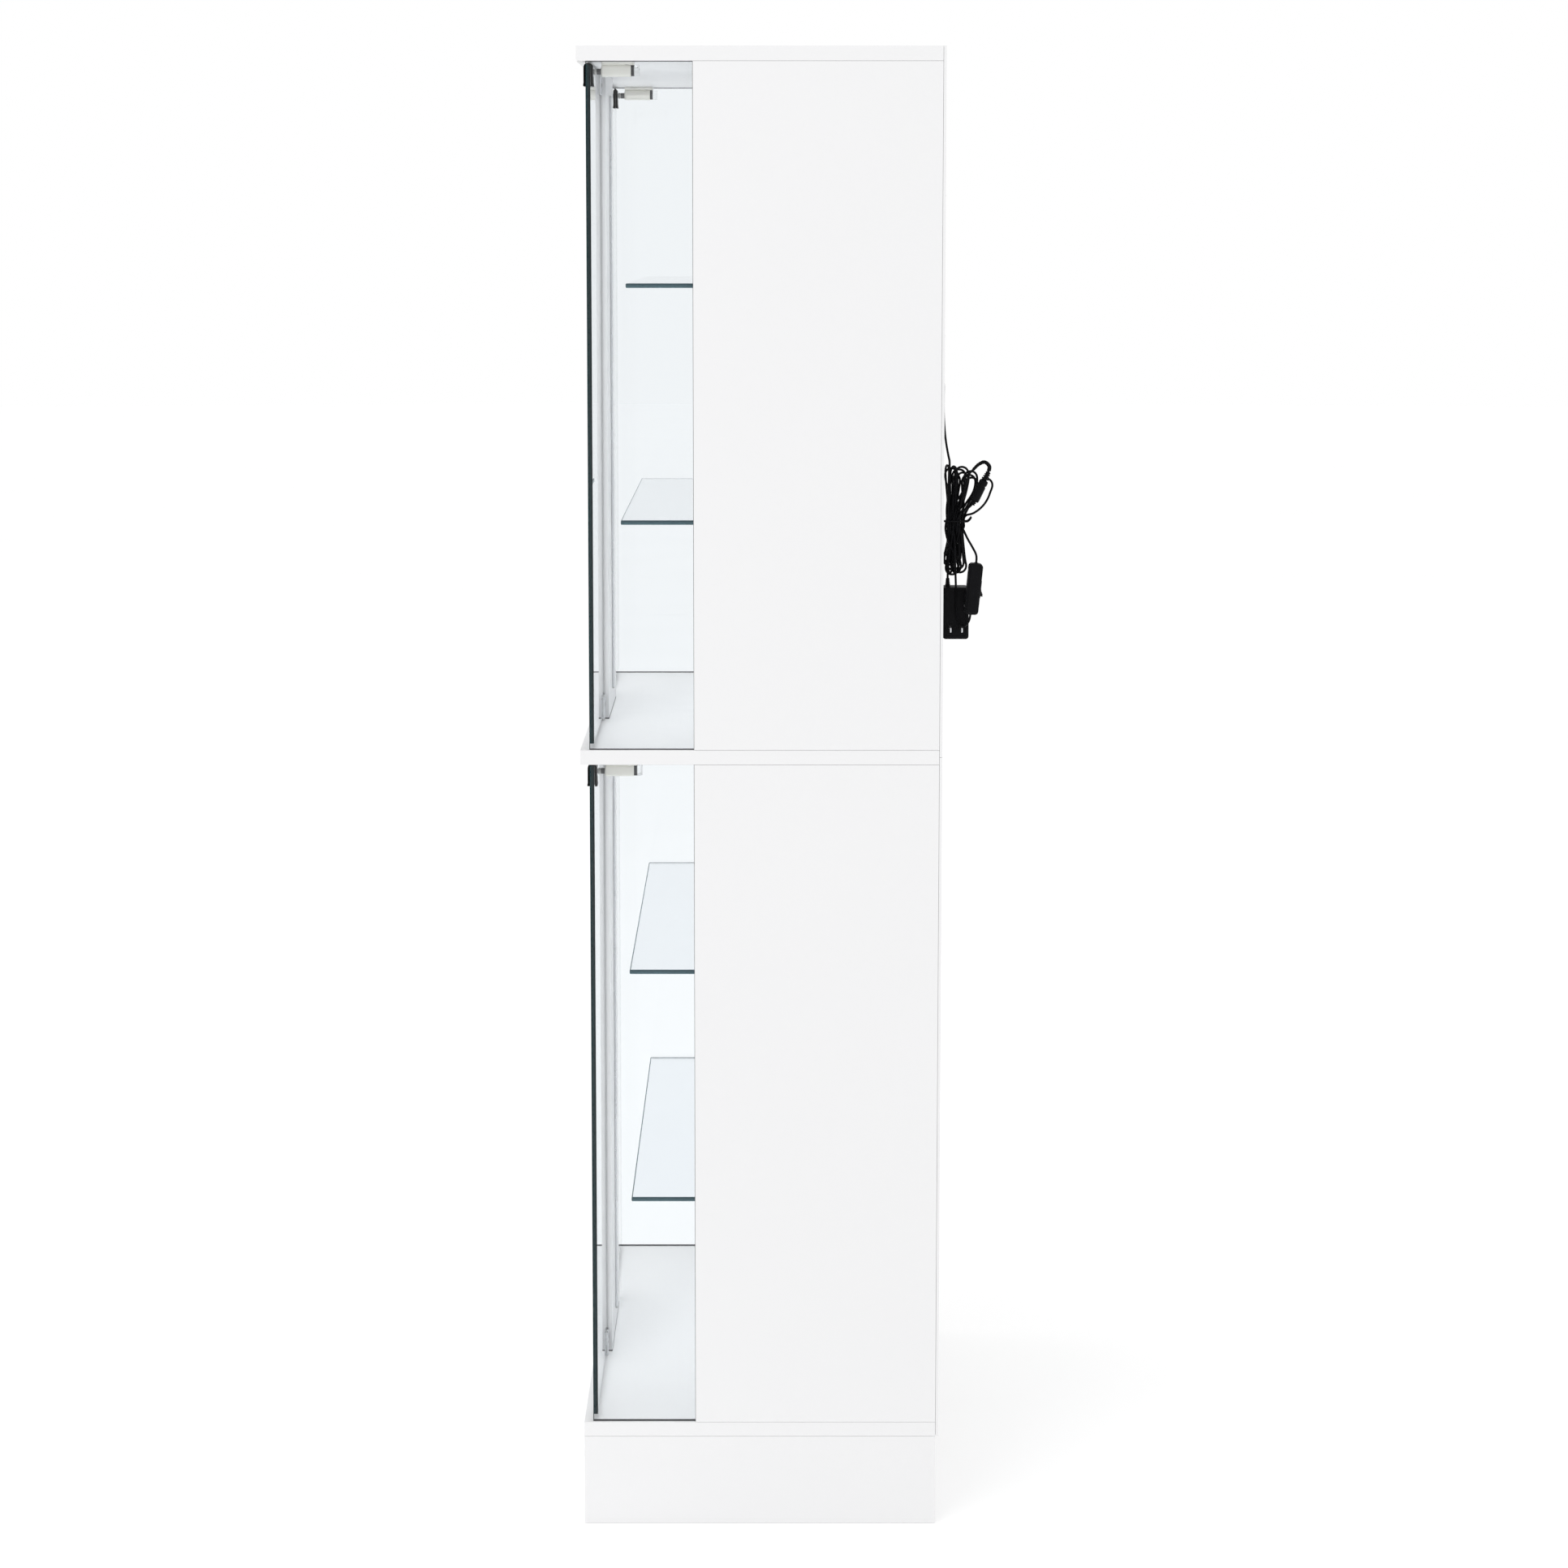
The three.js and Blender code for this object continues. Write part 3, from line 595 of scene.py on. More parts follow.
def curve_through(controls, step):
    """Evenly spaced points on a smooth curve through the controls, with a flag where it is held."""
    points = np.array([p for p, _ in controls], float)
    fixed = np.array([f for _, f in controls])
    padded = np.vstack([2 * points[0] - points[1], points, 2 * points[-1] - points[-2]])
    dense, flags = [], []
    for i in range(len(points) - 1):
        near = padded[i:i + 4]
        at = [0.0]
        for here, after in zip(near, near[1:]):
            at.append(at[-1] + np.linalg.norm(after - here) ** 0.5)
        for t in np.linspace(at[1], at[2], 40, endpoint=False):
            a = [mixed(near[k], near[k + 1], at[k], at[k + 1], t) for k in range(3)]
            b = [mixed(a[k], a[k + 1], at[k], at[k + 2], t) for k in range(2)]
            dense.append(mixed(*b, at[1], at[2], t))
            flags.append(fixed[i] and fixed[i + 1])
    dense.append(points[-1])
    flags.append(fixed[-1])
    dense, flags = np.array(dense), np.array(flags)
    run = np.append(0, np.cumsum(np.linalg.norm(np.diff(dense, axis=0), axis=1)))
    count = int(round(run[-1] / step))
    at = np.linspace(0, run[-1], count + 1)
    even = np.column_stack([np.interp(at, run, dense[:, k]) for k in range(3)])
    return even, flags[np.clip(np.searchsorted(run, at), 0, len(flags) - 1)]


def relax(points, pinned, rounds=260):
    """Settles the strands beside each other: none closer than the cord is thick, no fold too tight."""
    p = points.copy()
    roaming = ~pinned
    free = roaming.astype(float)[:, None]
    count = len(p)
    spacing = 2 * CORD_RADIUS + 0.06
    rest = np.linalg.norm(np.diff(p, axis=0), axis=1)
    reach, bend = 4, 7.2
    chord = 2 * bend * math.sin(reach * STEP / bend)
    low, high = (np.array(c, float) for c in HANK_BOX)
    bottom, top = np.array(CONNECTOR_BOTTOM, float), np.array(CONNECTOR_TOP, float)
    axis = top - bottom
    clear = CONNECTOR_RADIUS + CORD_RADIUS + 0.2
    outside = roaming.copy()
    for i in np.where(pinned)[0]:
        outside[max(0, i - 6):i + 7] = False
    boxed = outside & (p[:, 1] <= high[1])
    for turn in range(rounds):
        if turn % 4 == 0:  # which strands are near each other
            gap = np.sum(p ** 2, axis=1)
            square = gap[:, None] + gap[None, :] - 2 * p @ p.T
            i, j = np.where(square < (spacing * 1.6) ** 2)
            keep = j - i > 5
            pairs = i[keep], j[keep]
        smooth = 0.5 * (p[:-2] + p[2:]) - p[1:-1]
        p[1:-1] += 0.2 * smooth * free[1:-1]
        a, b = p[:-2 * reach], p[2 * reach:]  # folds open
        across = b - a
        length = np.linalg.norm(across, axis=1)
        short = np.clip(chord - length, 0, None) / np.maximum(length, 1e-6)
        push = 0.12 * across * short[:, None]
        p[:-2 * reach] -= push * free[:-2 * reach]
        p[2 * reach:] += push * free[2 * reach:]
        for _ in range(2):  # strands part
            i, j = pairs
            apart = p[j] - p[i]
            length = np.linalg.norm(apart, axis=1)
            close = length < spacing
            i, j, apart, length = i[close], j[close], apart[close], length[close]
            push = 0.5 * apart * ((spacing - length) / np.maximum(length, 1e-6))[:, None]
            total, hits = np.zeros_like(p), np.zeros(count)
            np.add.at(total, i, -push)
            np.add.at(total, j, push)
            np.add.at(hits, i, 1)
            np.add.at(hits, j, 1)
            p += 1.3 * total / np.maximum(hits, 1)[:, None] * free
        for _ in range(3):  # the cord keeps its length
            for start in (0, 1):
                seg = np.arange(start, count - 1, 2)
                apart = p[seg + 1] - p[seg]
                length = np.linalg.norm(apart, axis=1)
                share = free[seg, 0] + free[seg + 1, 0]
                stretch = (length - rest[seg]) / np.maximum(length, 1e-6) / np.maximum(share, 1)
                fix = apart * stretch[:, None]
                p[seg] += fix * free[seg]
                p[seg + 1] -= fix * free[seg + 1]
        tied = roaming & (np.abs(p[:, 2] - TIE_Z) < 4)
        away = (p[tied][:, :2] - (0, WAIST["middle"])) / (WAIST["across"], WAIST["back"])
        size = np.maximum(np.linalg.norm(away, axis=1), 1)
        p[tied, :2] = (0, WAIST["middle"]) + away / size[:, None] * (WAIST["across"], WAIST["back"])
        along = np.clip((p - bottom) @ axis / (axis @ axis), -0.1, 1.05)  # off the connector
        off = p - (bottom + along[:, None] * axis)
        dist = np.linalg.norm(off, axis=1)
        hit = outside & (dist < clear)
        p[hit] += off[hit] * (clear / dist[hit] - 1)[:, None]
        p[boxed] = np.clip(p[boxed], low, high)
        p[roaming, 1] = np.maximum(p[roaming, 1], low[1])
    return p


def settled_cord():
    """The cord's points once the strands have settled."""
    points, pinned = curve_through(cord_controls(), STEP)
    points = relax(points, pinned, 260)
    for _ in range(2):
        points[1:-1] += 0.25 * (0.5 * (points[:-2] + points[2:]) - points[1:-1])
    return points


def curve_object(name, points, radius, key, sides=3):
    """A round cord or wire along points in millimetres."""
    data = bpy.data.curves.new(name, "CURVE")
    data.dimensions = "3D"
    data.bevel_depth = radius * MM
    data.bevel_resolution = sides
    data.use_fill_caps = True
    line = data.splines.new("POLY")
    line.points.add(len(points) - 1)
    flat = np.column_stack([np.array(points) * MM, np.ones(len(points))])
    line.points.foreach_set("co", flat.ravel())
    line.use_smooth = True
    data.materials.append(MATS[key])
    return placed(name, data)


def behind(point):
    """A place on the cord set, in the part's frame."""
    return (CORD_X + point[0], CORD_BACK + point[1], point[2])


def make_grommet():
    """A flat rubber ring in the hole that the cord comes out of."""
    bore, sleeve, flange, proud = 2.7, 4.7, 6.5, 1.2
    profile = [
        (bore, -3), (sleeve, -3), (sleeve, 0.3), (flange - 0.2, 0.3), (flange, 0.5),
        (flange - 0.15, 0.85), (flange - 0.6, proud - 0.05), (flange - 1.1, proud), (bore + 0.7, proud),
        (bore + 0.25, proud - 0.15), (bore, proud - 0.5), (bore, -3),
    ]
    ring = turned(profile, (CORD_X, CORD_BACK, EXIT_Z), (0, 1, 0), 48)
    return settle(piece("grommet", [(ring, "jacket")]), "cabinet", ["cord_grommet"])


def hull(points):
    """The corners of the convex outline round some points, anticlockwise."""
    points = sorted(map(tuple, points))
    half = []
    for run in (points, points[::-1]):
        side = []
        for p in run:
            while len(side) > 1:
                (ax, ay), (bx, by) = side[-2], side[-1]
                if (bx - ax) * (p[1] - ay) - (by - ay) * (p[0] - ax) > 0:
                    break
                side.pop()
            side.append(p)
        half += side[:-1]
    return half


def round_bundle(route, level, clearance, count):
    """Evenly spaced places on the outline pulled tight round the strands at one level."""
    strands = route[np.abs(route[:, 2] - level) < 2.5][:, :2] - (CORD_X, CORD_BACK)
    strands = strands[np.abs(strands[:, 0]) < 12]
    tips = np.array(hull(strands))
    outline = []
    for before, here, after in zip(np.roll(tips, 1, 0), tips, np.roll(tips, -1, 0)):
        sides = ((before, here), (here, after))
        first, last = (math.atan2(*(b - a)[::-1]) - math.pi / 2 for a, b in sides)
        turn = (last - first) % (2 * math.pi)
        for t in np.linspace(0, turn, 8):
            outline.append(here + clearance * np.array([math.cos(first + t), math.sin(first + t)]))
    outline = np.array(outline + outline[:1])
    run = np.append(0, np.cumsum(np.linalg.norm(np.diff(outline, axis=0), axis=1)))
    at = np.linspace(0, run[-1], count, endpoint=False)
    return np.column_stack([np.interp(at, run, outline[:, k]) for k in (0, 1)])


def make_tie(route):
    """A wire tie: two turns pulled tight round the bundle, and its ends twisted together."""
    wire, count = 0.75, 90
    turn = round_bundle(route, TIE_Z, CORD_RADIUS + wire, count)
    start = int(np.argmax(turn[:, 1]))
    order = [(start + k) % count for k in range(count)] * 2 + [start]
    rises = np.linspace(-0.85, 0.85, len(order))
    wraps = [behind((*turn[i], TIE_Z + rise)) for i, rise in zip(order, rises)]
    pieces = [curve_object("tie_wraps", wraps, wire, "jacket")]
    settle(pieces[0], "cabinet", ["cord_tie"])
    root = np.array(behind((*turn[start], TIE_Z))) + (0.8, 0.6, 0)
    for name, phase in (("tie_end_a", 0.0), ("tie_end_b", math.pi)):
        end = []
        for t in np.linspace(0, 1, 81):
            angle = 8 * math.pi * t + phase
            centre = root + np.array([3.0 * t, 5.5 * t, 5.0 * t * t])
            twist = np.array([math.cos(angle), -0.4 * math.sin(angle), math.sin(angle)])
            end.append(tuple(centre + 0.78 * twist))
        pieces.append(settle(curve_object(name, end, wire, "jacket"), "cabinet"))
    return pieces


def make_boot():
    """The thick moulded sleeve that carries the lead over the top of the socket."""
    route, _ = curve_through([(p, True) for p in CONNECTOR_ROUTE[:5]], 0.8)
    boot = curve_object("socket_boot", [behind(p) for p in route], 1.0, "jacket", 4)
    points = boot.data.splines[0].points
    for k, point in enumerate(points):
        t = k / (len(points) - 1)
        ring = 0.16 if (k // 2) % 2 and t > 0.45 else 0.0
        point.radius = 2.35 - 0.75 * t + ring
    return settle(boot, "cabinet")


def make_connector():
    """The plug and socket between the light's lead and the adapter's, with a seam and a ribbed relief."""
    bottom, top = np.array(behind(CONNECTOR_BOTTOM), float), np.array(behind(CONNECTOR_TOP), float)
    length = float(np.linalg.norm(top - bottom))
    seam = length * 0.55
    profile = [
        (1.45, -4.5), (2.4, -4.3), (2.6, -3.4), (2.0, -3.1), (2.0, -2.5), (2.9, -2.3), (3.0, -1.2),
        (2.3, -0.9), (2.3, -0.3), (3.7, 0), (4.6, 0.5), (5.0, 1.6), (5.0, seam - 1.4), (4.75, seam - 0.9),
        (4.2, seam - 0.7), (4.2, seam + 0.5), (4.8, seam + 0.8), (5.0, seam + 1.4), (5.0, length - 11.4),
        (4.6, length - 10.2), (3.3, length - 9.4),
    ]
    for rib in range(4):
        start = length - 9.2 + rib * 2.45
        outer = 4.15 - 0.42 * rib
        profile += [
            (2.45, start), (2.35, start + 0.75), (outer - 0.15, start + 0.85), (outer, start + 1.1),
            (outer, start + 1.9), (outer - 0.2, start + 2.15),
        ]
    profile += [(2.0, length + 0.75), (1.45, length + 0.9)]
    shell = turned(profile, bottom, top - bottom, 48)
    ring = turned([(4.3, seam - 0.65), (4.3, seam + 0.45)], bottom, top - bottom, 48)
    obj = piece("dc_plug_and_socket", [(shell, "black"), (ring, "gloss_black")])
    return settle(obj, "cabinet", ["dc_connector"])


def switch_matrix():
    """From the switch's own frame to the part's, in millimetres."""
    turn = Matrix.Rotation(-math.radians(SWITCH["lean"]), 4, "X")
    return Matrix.Translation(behind((SWITCH["x"], SWITCH["back"], SWITCH["z"]))) @ turn


def make_switch():
    """The in-line switch: two halves with a seam, a raised panel each side, and a rocker behind."""
    thick, length, wide = SWITCH["thick"], SWITCH["length"], SWITCH["wide"]
    half, face = wide / 2, thick / 2
    matrix = switch_matrix()

    def ring(x, inset, radius):
        outline = rounded_outline(0, 0, thick - 2 * inset, length - 2 * inset, radius, 8)
        return [(x, y, z) for y, z in outline]

    side = [  # from the panel's middle to the seam: across, inset, corner radius
        (half, 3.6, 1.6), (half, 3.0, 1.9), (half - 0.15, 2.75, 2.1), (half - 0.75, 2.5, 2.3),
        (half - 0.8, 2.0, 2.6), (half - 0.95, 1.35, 3.0), (half - 1.5, 0.5, 3.6), (half - 2.4, 0, 4.0),
        (0.45, 0, 4.0), (0.3, 0.12, 4.0), (0.25, 0.4, 3.8),
    ]
    levels = [ring(-x, inset, radius) for x, inset, radius in side]
    levels += [ring(x, inset, radius) for x, inset, radius in side[::-1]]
    case = piece("switch_case", [(loft(levels), "black")])
    cut_away(case, [block((-4.6, face - 5.2, -8.6), (4.6, face + 2, 8.6), 0.4)])
    rim = prism(rounded_outline(0, 0, 11.6, 19.6, 1.6), "y", face - 0.3, face + 0.45)
    bezel = piece("switch_bezel", [(rounded(rim, 0.25), "gloss_black")])
    cut_away(bezel, [block((-4.6, 0, -8.6), (4.6, 20, 8.6))])
    parts = []
    for z in (-20, 20):
        outward = matrix.to_3x3() @ Vector((0, -1, 0))
        parts.append((screw_head(matrix @ Vector((0, -face + 0.2, z)), outward, 1.9, 0.5), "screw"))
    collar = [(1.4, 0), (3.1, 0), (3.1, 0.7), (2.7, 1.0), (2.0, 1.3), (1.45, 1.4)]
    for end in (-1, 1):
        at = matrix @ Vector((0, 0, end * (length / 2 - 0.4)))
        parts.append((turned(collar, at, matrix.to_3x3() @ Vector((0, 0, end)), 32), "black"))
    fittings = piece("switch_fittings", parts)

    outline = [
        (face - 3, -7.6), (face + 2.6, -7.6), (face + 3.1, -7.3), (face + 3.15, -6.8), (face + 1.9, -3.6),
        (face + 1.0, -1.2), (face + 0.62, 1.0), (face + 0.45, 4.0), (face + 0.3, 7.2), (face - 0.1, 7.6),
        (face - 3, 7.6),
    ]
    key = [(prism(outline, "x", -4, 4, 0.3, 2, 30), "gloss_black")]
    for z in (-5.6, -4.6, -3.6):  # grip ridges
        high = (2.6, face + 3.1 + (z + 5.6) * -0.42, z + 0.35)
        key.append((block((-2.6, face + 1.2, z), high, 0.1), "gloss_black"))
    rocker = piece("rocker_key", key)
    for obj in (case, bezel, rocker):
        obj.data.transform(scaled(matrix))
    settle(case, "cabinet", ["switch_body"])
    settle(bezel, "cabinet")
    settle(fittings, "cabinet")
    settle(rocker, "rocker", ["switch_rocker"])
    return [case, bezel, fittings, rocker]


def scaled(matrix):
    """A matrix in millimetres, for a mesh in metres."""
    out = matrix.copy()
    out.translation = matrix.translation * MM
    return out


def screw_head(at, outward, radius, proud):
    """A pan head with a round recess, standing proud of a face."""
    profile = [
        (radius * 0.96, -0.2), (radius, proud * 0.35), (radius * 0.86, proud * 0.75), (radius * 0.5, proud),
        (radius * 0.42, proud), (radius * 0.3, proud * 0.2), (0.02, proud * 0.1),
    ]
    return turned(profile, at, outward, 28)


def make_adapter():
    """The plug-in adapter: two halves with a seam, a grip each side, its blades and a ribbed relief."""
    half, front, rear, bottom, top = 18.0, 3.4, 32.4, 999.0, 1057.0
    middle = CORD_BACK + (front + rear) / 2
    height, depth = top - bottom, rear - front
    middle_z = (top + bottom) / 2

    def ring(x, inset, radius):
        outline = rounded_outline(middle, middle_z, depth - 2 * inset, height - 2 * inset, radius, 7)
        return [(CORD_X + x, y, z) for y, z in outline]

    sections = [  # across, inset, corner radius
        (-half, 2.4, 1.8), (-half + 0.25, 1.3, 2.4), (-half + 0.9, 0.45, 2.9), (-half + 2.0, 0, 3.2),
        (half - 6.6, 0, 3.2), (half - 6.4, 0.12, 3.1), (half - 6.35, 0.45, 2.9), (half - 6.0, 0.45, 2.9),
        (half - 5.95, 0.12, 3.1), (half - 5.8, 0, 3.2), (half - 1.6, 0, 3.2), (half - 0.7, 0.35, 3.0),
        (half - 0.2, 1.1, 2.5), (half, 2.2, 2.0), (half, 3.4, 1.6), (half - 0.35, 3.7, 1.4),
        (half - 0.35, 6.0, 1.2),
    ]
    parts = [(loft([ring(*s) for s in sections]), "black")]
    for k in range(7):  # grip ridges on the two narrow faces
        z = middle_z - 12 + 4 * k
        for face, sign in ((CORD_BACK + front, -1), (CORD_BACK + rear, 1)):
            y0, y1 = sorted((face - sign * 0.6, face + sign * 0.35))
            parts.append((block((CORD_X - 13, y0, z - 0.8), (CORD_X + 8.5, y1, z + 0.8), 0.3), "black"))
    root, shoulder, tip = CORD_X + half - 2, CORD_X + half + 13.6, CORD_X + half + 16
    blade_z, wide = 1011.0, 3.15
    outline = [
        (root, blade_z - wide), (shoulder, blade_z - wide), (tip, blade_z - 2), (tip, blade_z + 2),
        (shoulder, blade_z + wide), (root, blade_z + wide),
    ]
    for name, y in (("blade_front", middle - 12.7 / 2), ("blade_rear", middle + 12.7 / 2)):
        metal = piece(name, [(prism(outline, "y", y - 0.75, y + 0.75, 0.22), "metal")])
        cut_away(metal, [turned([(1.6, -4), (1.6, 4)], (tip - 4.4, y, blade_z), (0, 1, 0), 28)])
        settle(metal, "cabinet")
        mouth = rounded_outline(y, blade_z, 4.2, 9.0, 0.8)
        parts.append((prism(mouth, "x", CORD_X + half - 1.2, CORD_X + half + 0.35, 0.2), "gloss_black"))
        yield metal
    profile = [(3.3, -1.5), (3.3, 0.4), (2.9, 0.9), (2.2, 1.0), (2.15, 1.6)]
    for rib in range(4):
        start, outer, waist = 1.7 + 2.0 * rib, 2.95 - 0.24 * rib, 2.0 - 0.05 * rib
        profile += [
            (outer - 0.1, start), (outer, start + 0.25), (outer, start + 1.05), (outer - 0.15, start + 1.3),
            (waist, start + 1.35), (waist, start + 1.9),
        ]
    profile += [(1.7, 9.8), (1.45, 9.9)]
    parts.append((turned(profile, behind((RELIEF_ACROSS, RELIEF_BACK, top)), (0, 0, 1), 36), "black"))
    yield settle(piece("adapter_case", parts), "cabinet", ["power_adapter"])


def make_cord_set():
    """The cord and everything on it."""
    route = settled_cord() + (CORD_X, CORD_BACK, 0)
    cord = curve_object("power_cord", route, CORD_RADIUS, "jacket", 4)
    nodes = ["cord_lead", "cord_hank", "cord_to_connector", "cord_to_switch", "cord_from_switch"]
    settle(cord, "cabinet", nodes)
    on_it = [
        make_grommet(), *make_tie(route), make_connector(), make_boot(), *make_switch(), *make_adapter(),
    ]


make_cord_set()

# ---------- Boards and panels: the CAD's own, with eased edges ----------


def finish_board(node, key, ease=0.8):
    """Gives a CAD board its material and eases its edges."""
    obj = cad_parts[node]
    obj.data.materials.clear()
    obj.data.materials.append(MATS[key])
    eased = obj.modifiers.new("eased_edges", "BEVEL")
    eased.width = ease * MM
    eased.segments = 3
    eased.limit_method = "ANGLE"
    eased.angle_limit = math.radians(30)
    eased.harden_normals = True


BOARDS = ("plinth_", "bottom_board", "middle_board", "top_board", "side_panel_", "centre_panel_")
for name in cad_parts:
    if name.startswith(BOARDS):
        finish_board(name, "laminate")
    if name.startswith("back_board_"):
        finish_board(name, "back_board", 0.4)

# ---------- Panes ----------


def make_pane(name, node, axis, body, arris=0.7):
    """Clear glass with ground edges, in place of a CAD pane. axis is the one across its thickness."""
    low, high = corners(node)
    shape = block(low, high, arris, 2)
    mesh = bpy.data.meshes.new(name)
    shape.to_mesh(mesh)
    shape.free()
    middle, half = (low[axis] + high[axis]) / 2, (high[axis] - low[axis]) / 2
    across = [(vertex.co[axis] - middle) / half for vertex in mesh.vertices]
    mesh.attributes.new("across", "FLOAT", "POINT").data.foreach_set("value", across)
    for face in mesh.polygons:
        face.material_index = 0 if abs(face.normal[axis]) > 0.99 else 1
    mesh.transform(Matrix.Scale(MM, 4))
    for key in ("shelf_glass", "shelf_edge") if axis == 2 else ("glass", "edge"):
        mesh.materials.append(MATS[key])
    settle(placed(name, mesh), body, [node])


for tier in TIERS:
    for side in SIDES:
        make_pane(f"side_pane_{tier}_{side}", f"side_glass_{tier}_{side}", 0, "cabinet")
        make_pane(f"door_pane_{tier}_{side}", f"door_glass_{tier}_{side}", 1, f"door_{tier}_{side}")
    for index in (1, 2):
        make_pane(f"shelf_pane_{tier}_{index}", f"shelf_{tier}_{index}", 2, "cabinet", 1.1)


def make_shade_beads(tier, side):
    """Thin dark grey beads where a side pane meets boards and panel, and in the seam over the panel:
    painted shade for the grooves and the seam.
    """
    sign = SIDES[side]
    low, high = corners(f"side_glass_{tier}_{side}")
    panel_low, panel_high = corners(f"side_panel_{tier}_{side}")
    front, panel_front = low[1], panel_low[1]
    floor_top, ceiling = panel_low[2] - 0.3, panel_high[2] + 0.3
    beads = []
    for face, outward in ((high[0], 1), (low[0], -1)):
        x0, x1 = sorted((face - outward * 0.1, face + outward * 0.5))
        beads += [
            block((x0, front, floor_top - 0.4), (x1, panel_front, floor_top + 0.9), 0.18),
            block((x0, front, ceiling - 0.7), (x1, panel_front, ceiling + 0.4), 0.18),
            block((x0, panel_front - 0.55, floor_top + 0.5), (x1, panel_front + 0.4, ceiling - 0.5), 0.18),
        ]
    # painted shade: a dark strip in the seam over the side panel
    if tier == "upper":
        x0, x1 = sorted((sign * (PANEL_FACE + 2), sign * (PANEL_FACE + 15.55)))
        start, end = panel_front + 0.4, panel_high[1] - 0.4
        beads.append(block((x0, start, ceiling - 0.75), (x1, end, ceiling + 0.45), 0.1))
    settle(piece(f"pane_shade_bead_{tier}_{side}", [(bead, "shade_bead") for bead in beads]), "cabinet")


for tier in TIERS:
    for side in SIDES:
        make_shade_beads(tier, side)


def panel_shade_strip(tier):
    """A dark strip at a centre panel's foot: painted shade for the gap under the panel."""
    low, high = corners(f"centre_panel_{tier}")
    proud = np.array([0.15, 0.15, 0])
    strip = block(low - proud - (0, 0, 0.3), (*(high + proud)[:2], low[2] + 1.2), 0.05)
    settle(piece(f"panel_shade_strip_{tier}", [(strip, "shade_bead")]), "cabinet")


for tier in TIERS:
    panel_shade_strip(tier)

# ---------- Shelf pins ----------

SHELF_PIN_PLACES = (-50.0, 165.0)


def shelf_pin(sign, y, under):
    """A turned pin in the side panel with a flat tongue and a clear pad under the shelf."""
    face = sign * PANEL_FACE
    profile = [
        (2.2, -7), (2.5, -6.4), (2.5, 0), (3.9, 0.05), (4.1, 0.3), (4.1, 0.9), (3.8, 1.2), (2.6, 1.3),
        (2.45, 1.7), (2.4, 9.6), (1.9, 10.2), (0.6, 10.5),
    ]
    shank = turned(profile, (face, y, under - 3.2), (-sign, 0, 0), 32)
    x0, x1 = sorted((face - sign * 1.3, face - sign * 11.5))
    middle, long = (x0 + x1) / 2, x1 - x0
    tongue = prism(rounded_outline(middle, y, long, 6.4, 2.4), "z", under - 1.7, under - 0.55, 0.25)
    pad = prism(rounded_outline(middle, y, long - 2, 5.2, 2.0), "z", under - 0.55, under - 0.08, 0.15)
    return [(shank, "metal"), (tongue, "metal"), (pad, "clear_cap")]


for tier in TIERS:
    for index in (1, 2):
        under = corners(f"shelf_{tier}_{index}")[0][2]
        for side, sign in SIDES.items():
            pins = [part for y in SHELF_PIN_PLACES for part in shelf_pin(sign, y, under)]
            settle(piece(f"shelf_pins_{tier}_{index}_{side}", pins), "cabinet")

# ---------- Door hardware ----------

DOOR_MIDDLE_Y = -187.5
DOOR_INNER_X = 113.0
PIVOT_X = 125.0
CATCH_X = 370.0


def pivot_shoe(tier, side, end):
    """A folded metal clamp over the pane's corner, with two grub screws, its pin and a nylon washer."""
    sign, up = SIDES[side], 1 if end == "top" else -1
    low, high = corners(f"door_glass_{tier}_{side}")
    edge = high[2] if up > 0 else low[2]
    outer, inner, cap, foot = 4.5, 2.8, 2.0, 24.0
    outline = [
        (outer, -foot), (outer, cap), (-outer, cap), (-outer, -foot),
        (-inner, -foot), (-inner, 0.3), (inner, 0.3), (inner, -foot),
    ]
    x0, x1 = sorted((sign * DOOR_INNER_X, sign * (DOOR_INNER_X + 30)))
    shell = prism([(DOOR_MIDDLE_Y + y, edge + up * z) for y, z in outline], "x", x0, x1, 0.45, 3, 60)
    gap = 3.0 if up > 0 else 6.0
    tip = gap + 7.0
    pivot = (sign * PIVOT_X, DOOR_MIDDLE_Y, edge), (0, 0, up), 32
    pin = turned([(2.5, cap - 0.6), (2.5, tip - 0.8), (2.1, tip - 0.2), (1.5, tip)], *pivot)
    ring = [
        (2.7, cap + 0.08), (4.3, cap + 0.08), (4.4, cap + 0.3), (4.4, gap - 0.35), (4.2, gap - 0.12),
        (2.7, gap - 0.12),
    ]
    parts = [(shell, "metal"), (pin, "metal"), (turned(ring, *pivot), "nylon")]
    grub_screw = [(2.6, -0.15), (2.6, 0.12), (2.35, 0.3), (1.3, 0.3), (1.25, -0.5), (0.05, -0.6)]
    for offset in (8.0, 22.0):
        at = (sign * (DOOR_INNER_X + offset), DOOR_MIDDLE_Y + outer, edge - up * 13.5)
        parts.append((turned(grub_screw, at, (0, 1, 0), 30), "screw"))
    z0, z1 = sorted((edge - up * 23.4, edge - up * 0.5))
    for y in (-inner + 0.03, inner - 0.03):  # the soft liners between metal and glass
        y0, y1 = sorted((DOOR_MIDDLE_Y + y, DOOR_MIDDLE_Y + y - math.copysign(0.22, y)))
        parts.append((block((x0 + 0.5, y0, z0), (x1 - 0.5, y1, z1)), "nylon"))
    clamp = piece(f"pivot_clamp_{end}_{tier}_{side}", parts)
    settle(clamp, f"door_{tier}_{side}", [f"pivot_shoe_{end}_{tier}_{side}"])


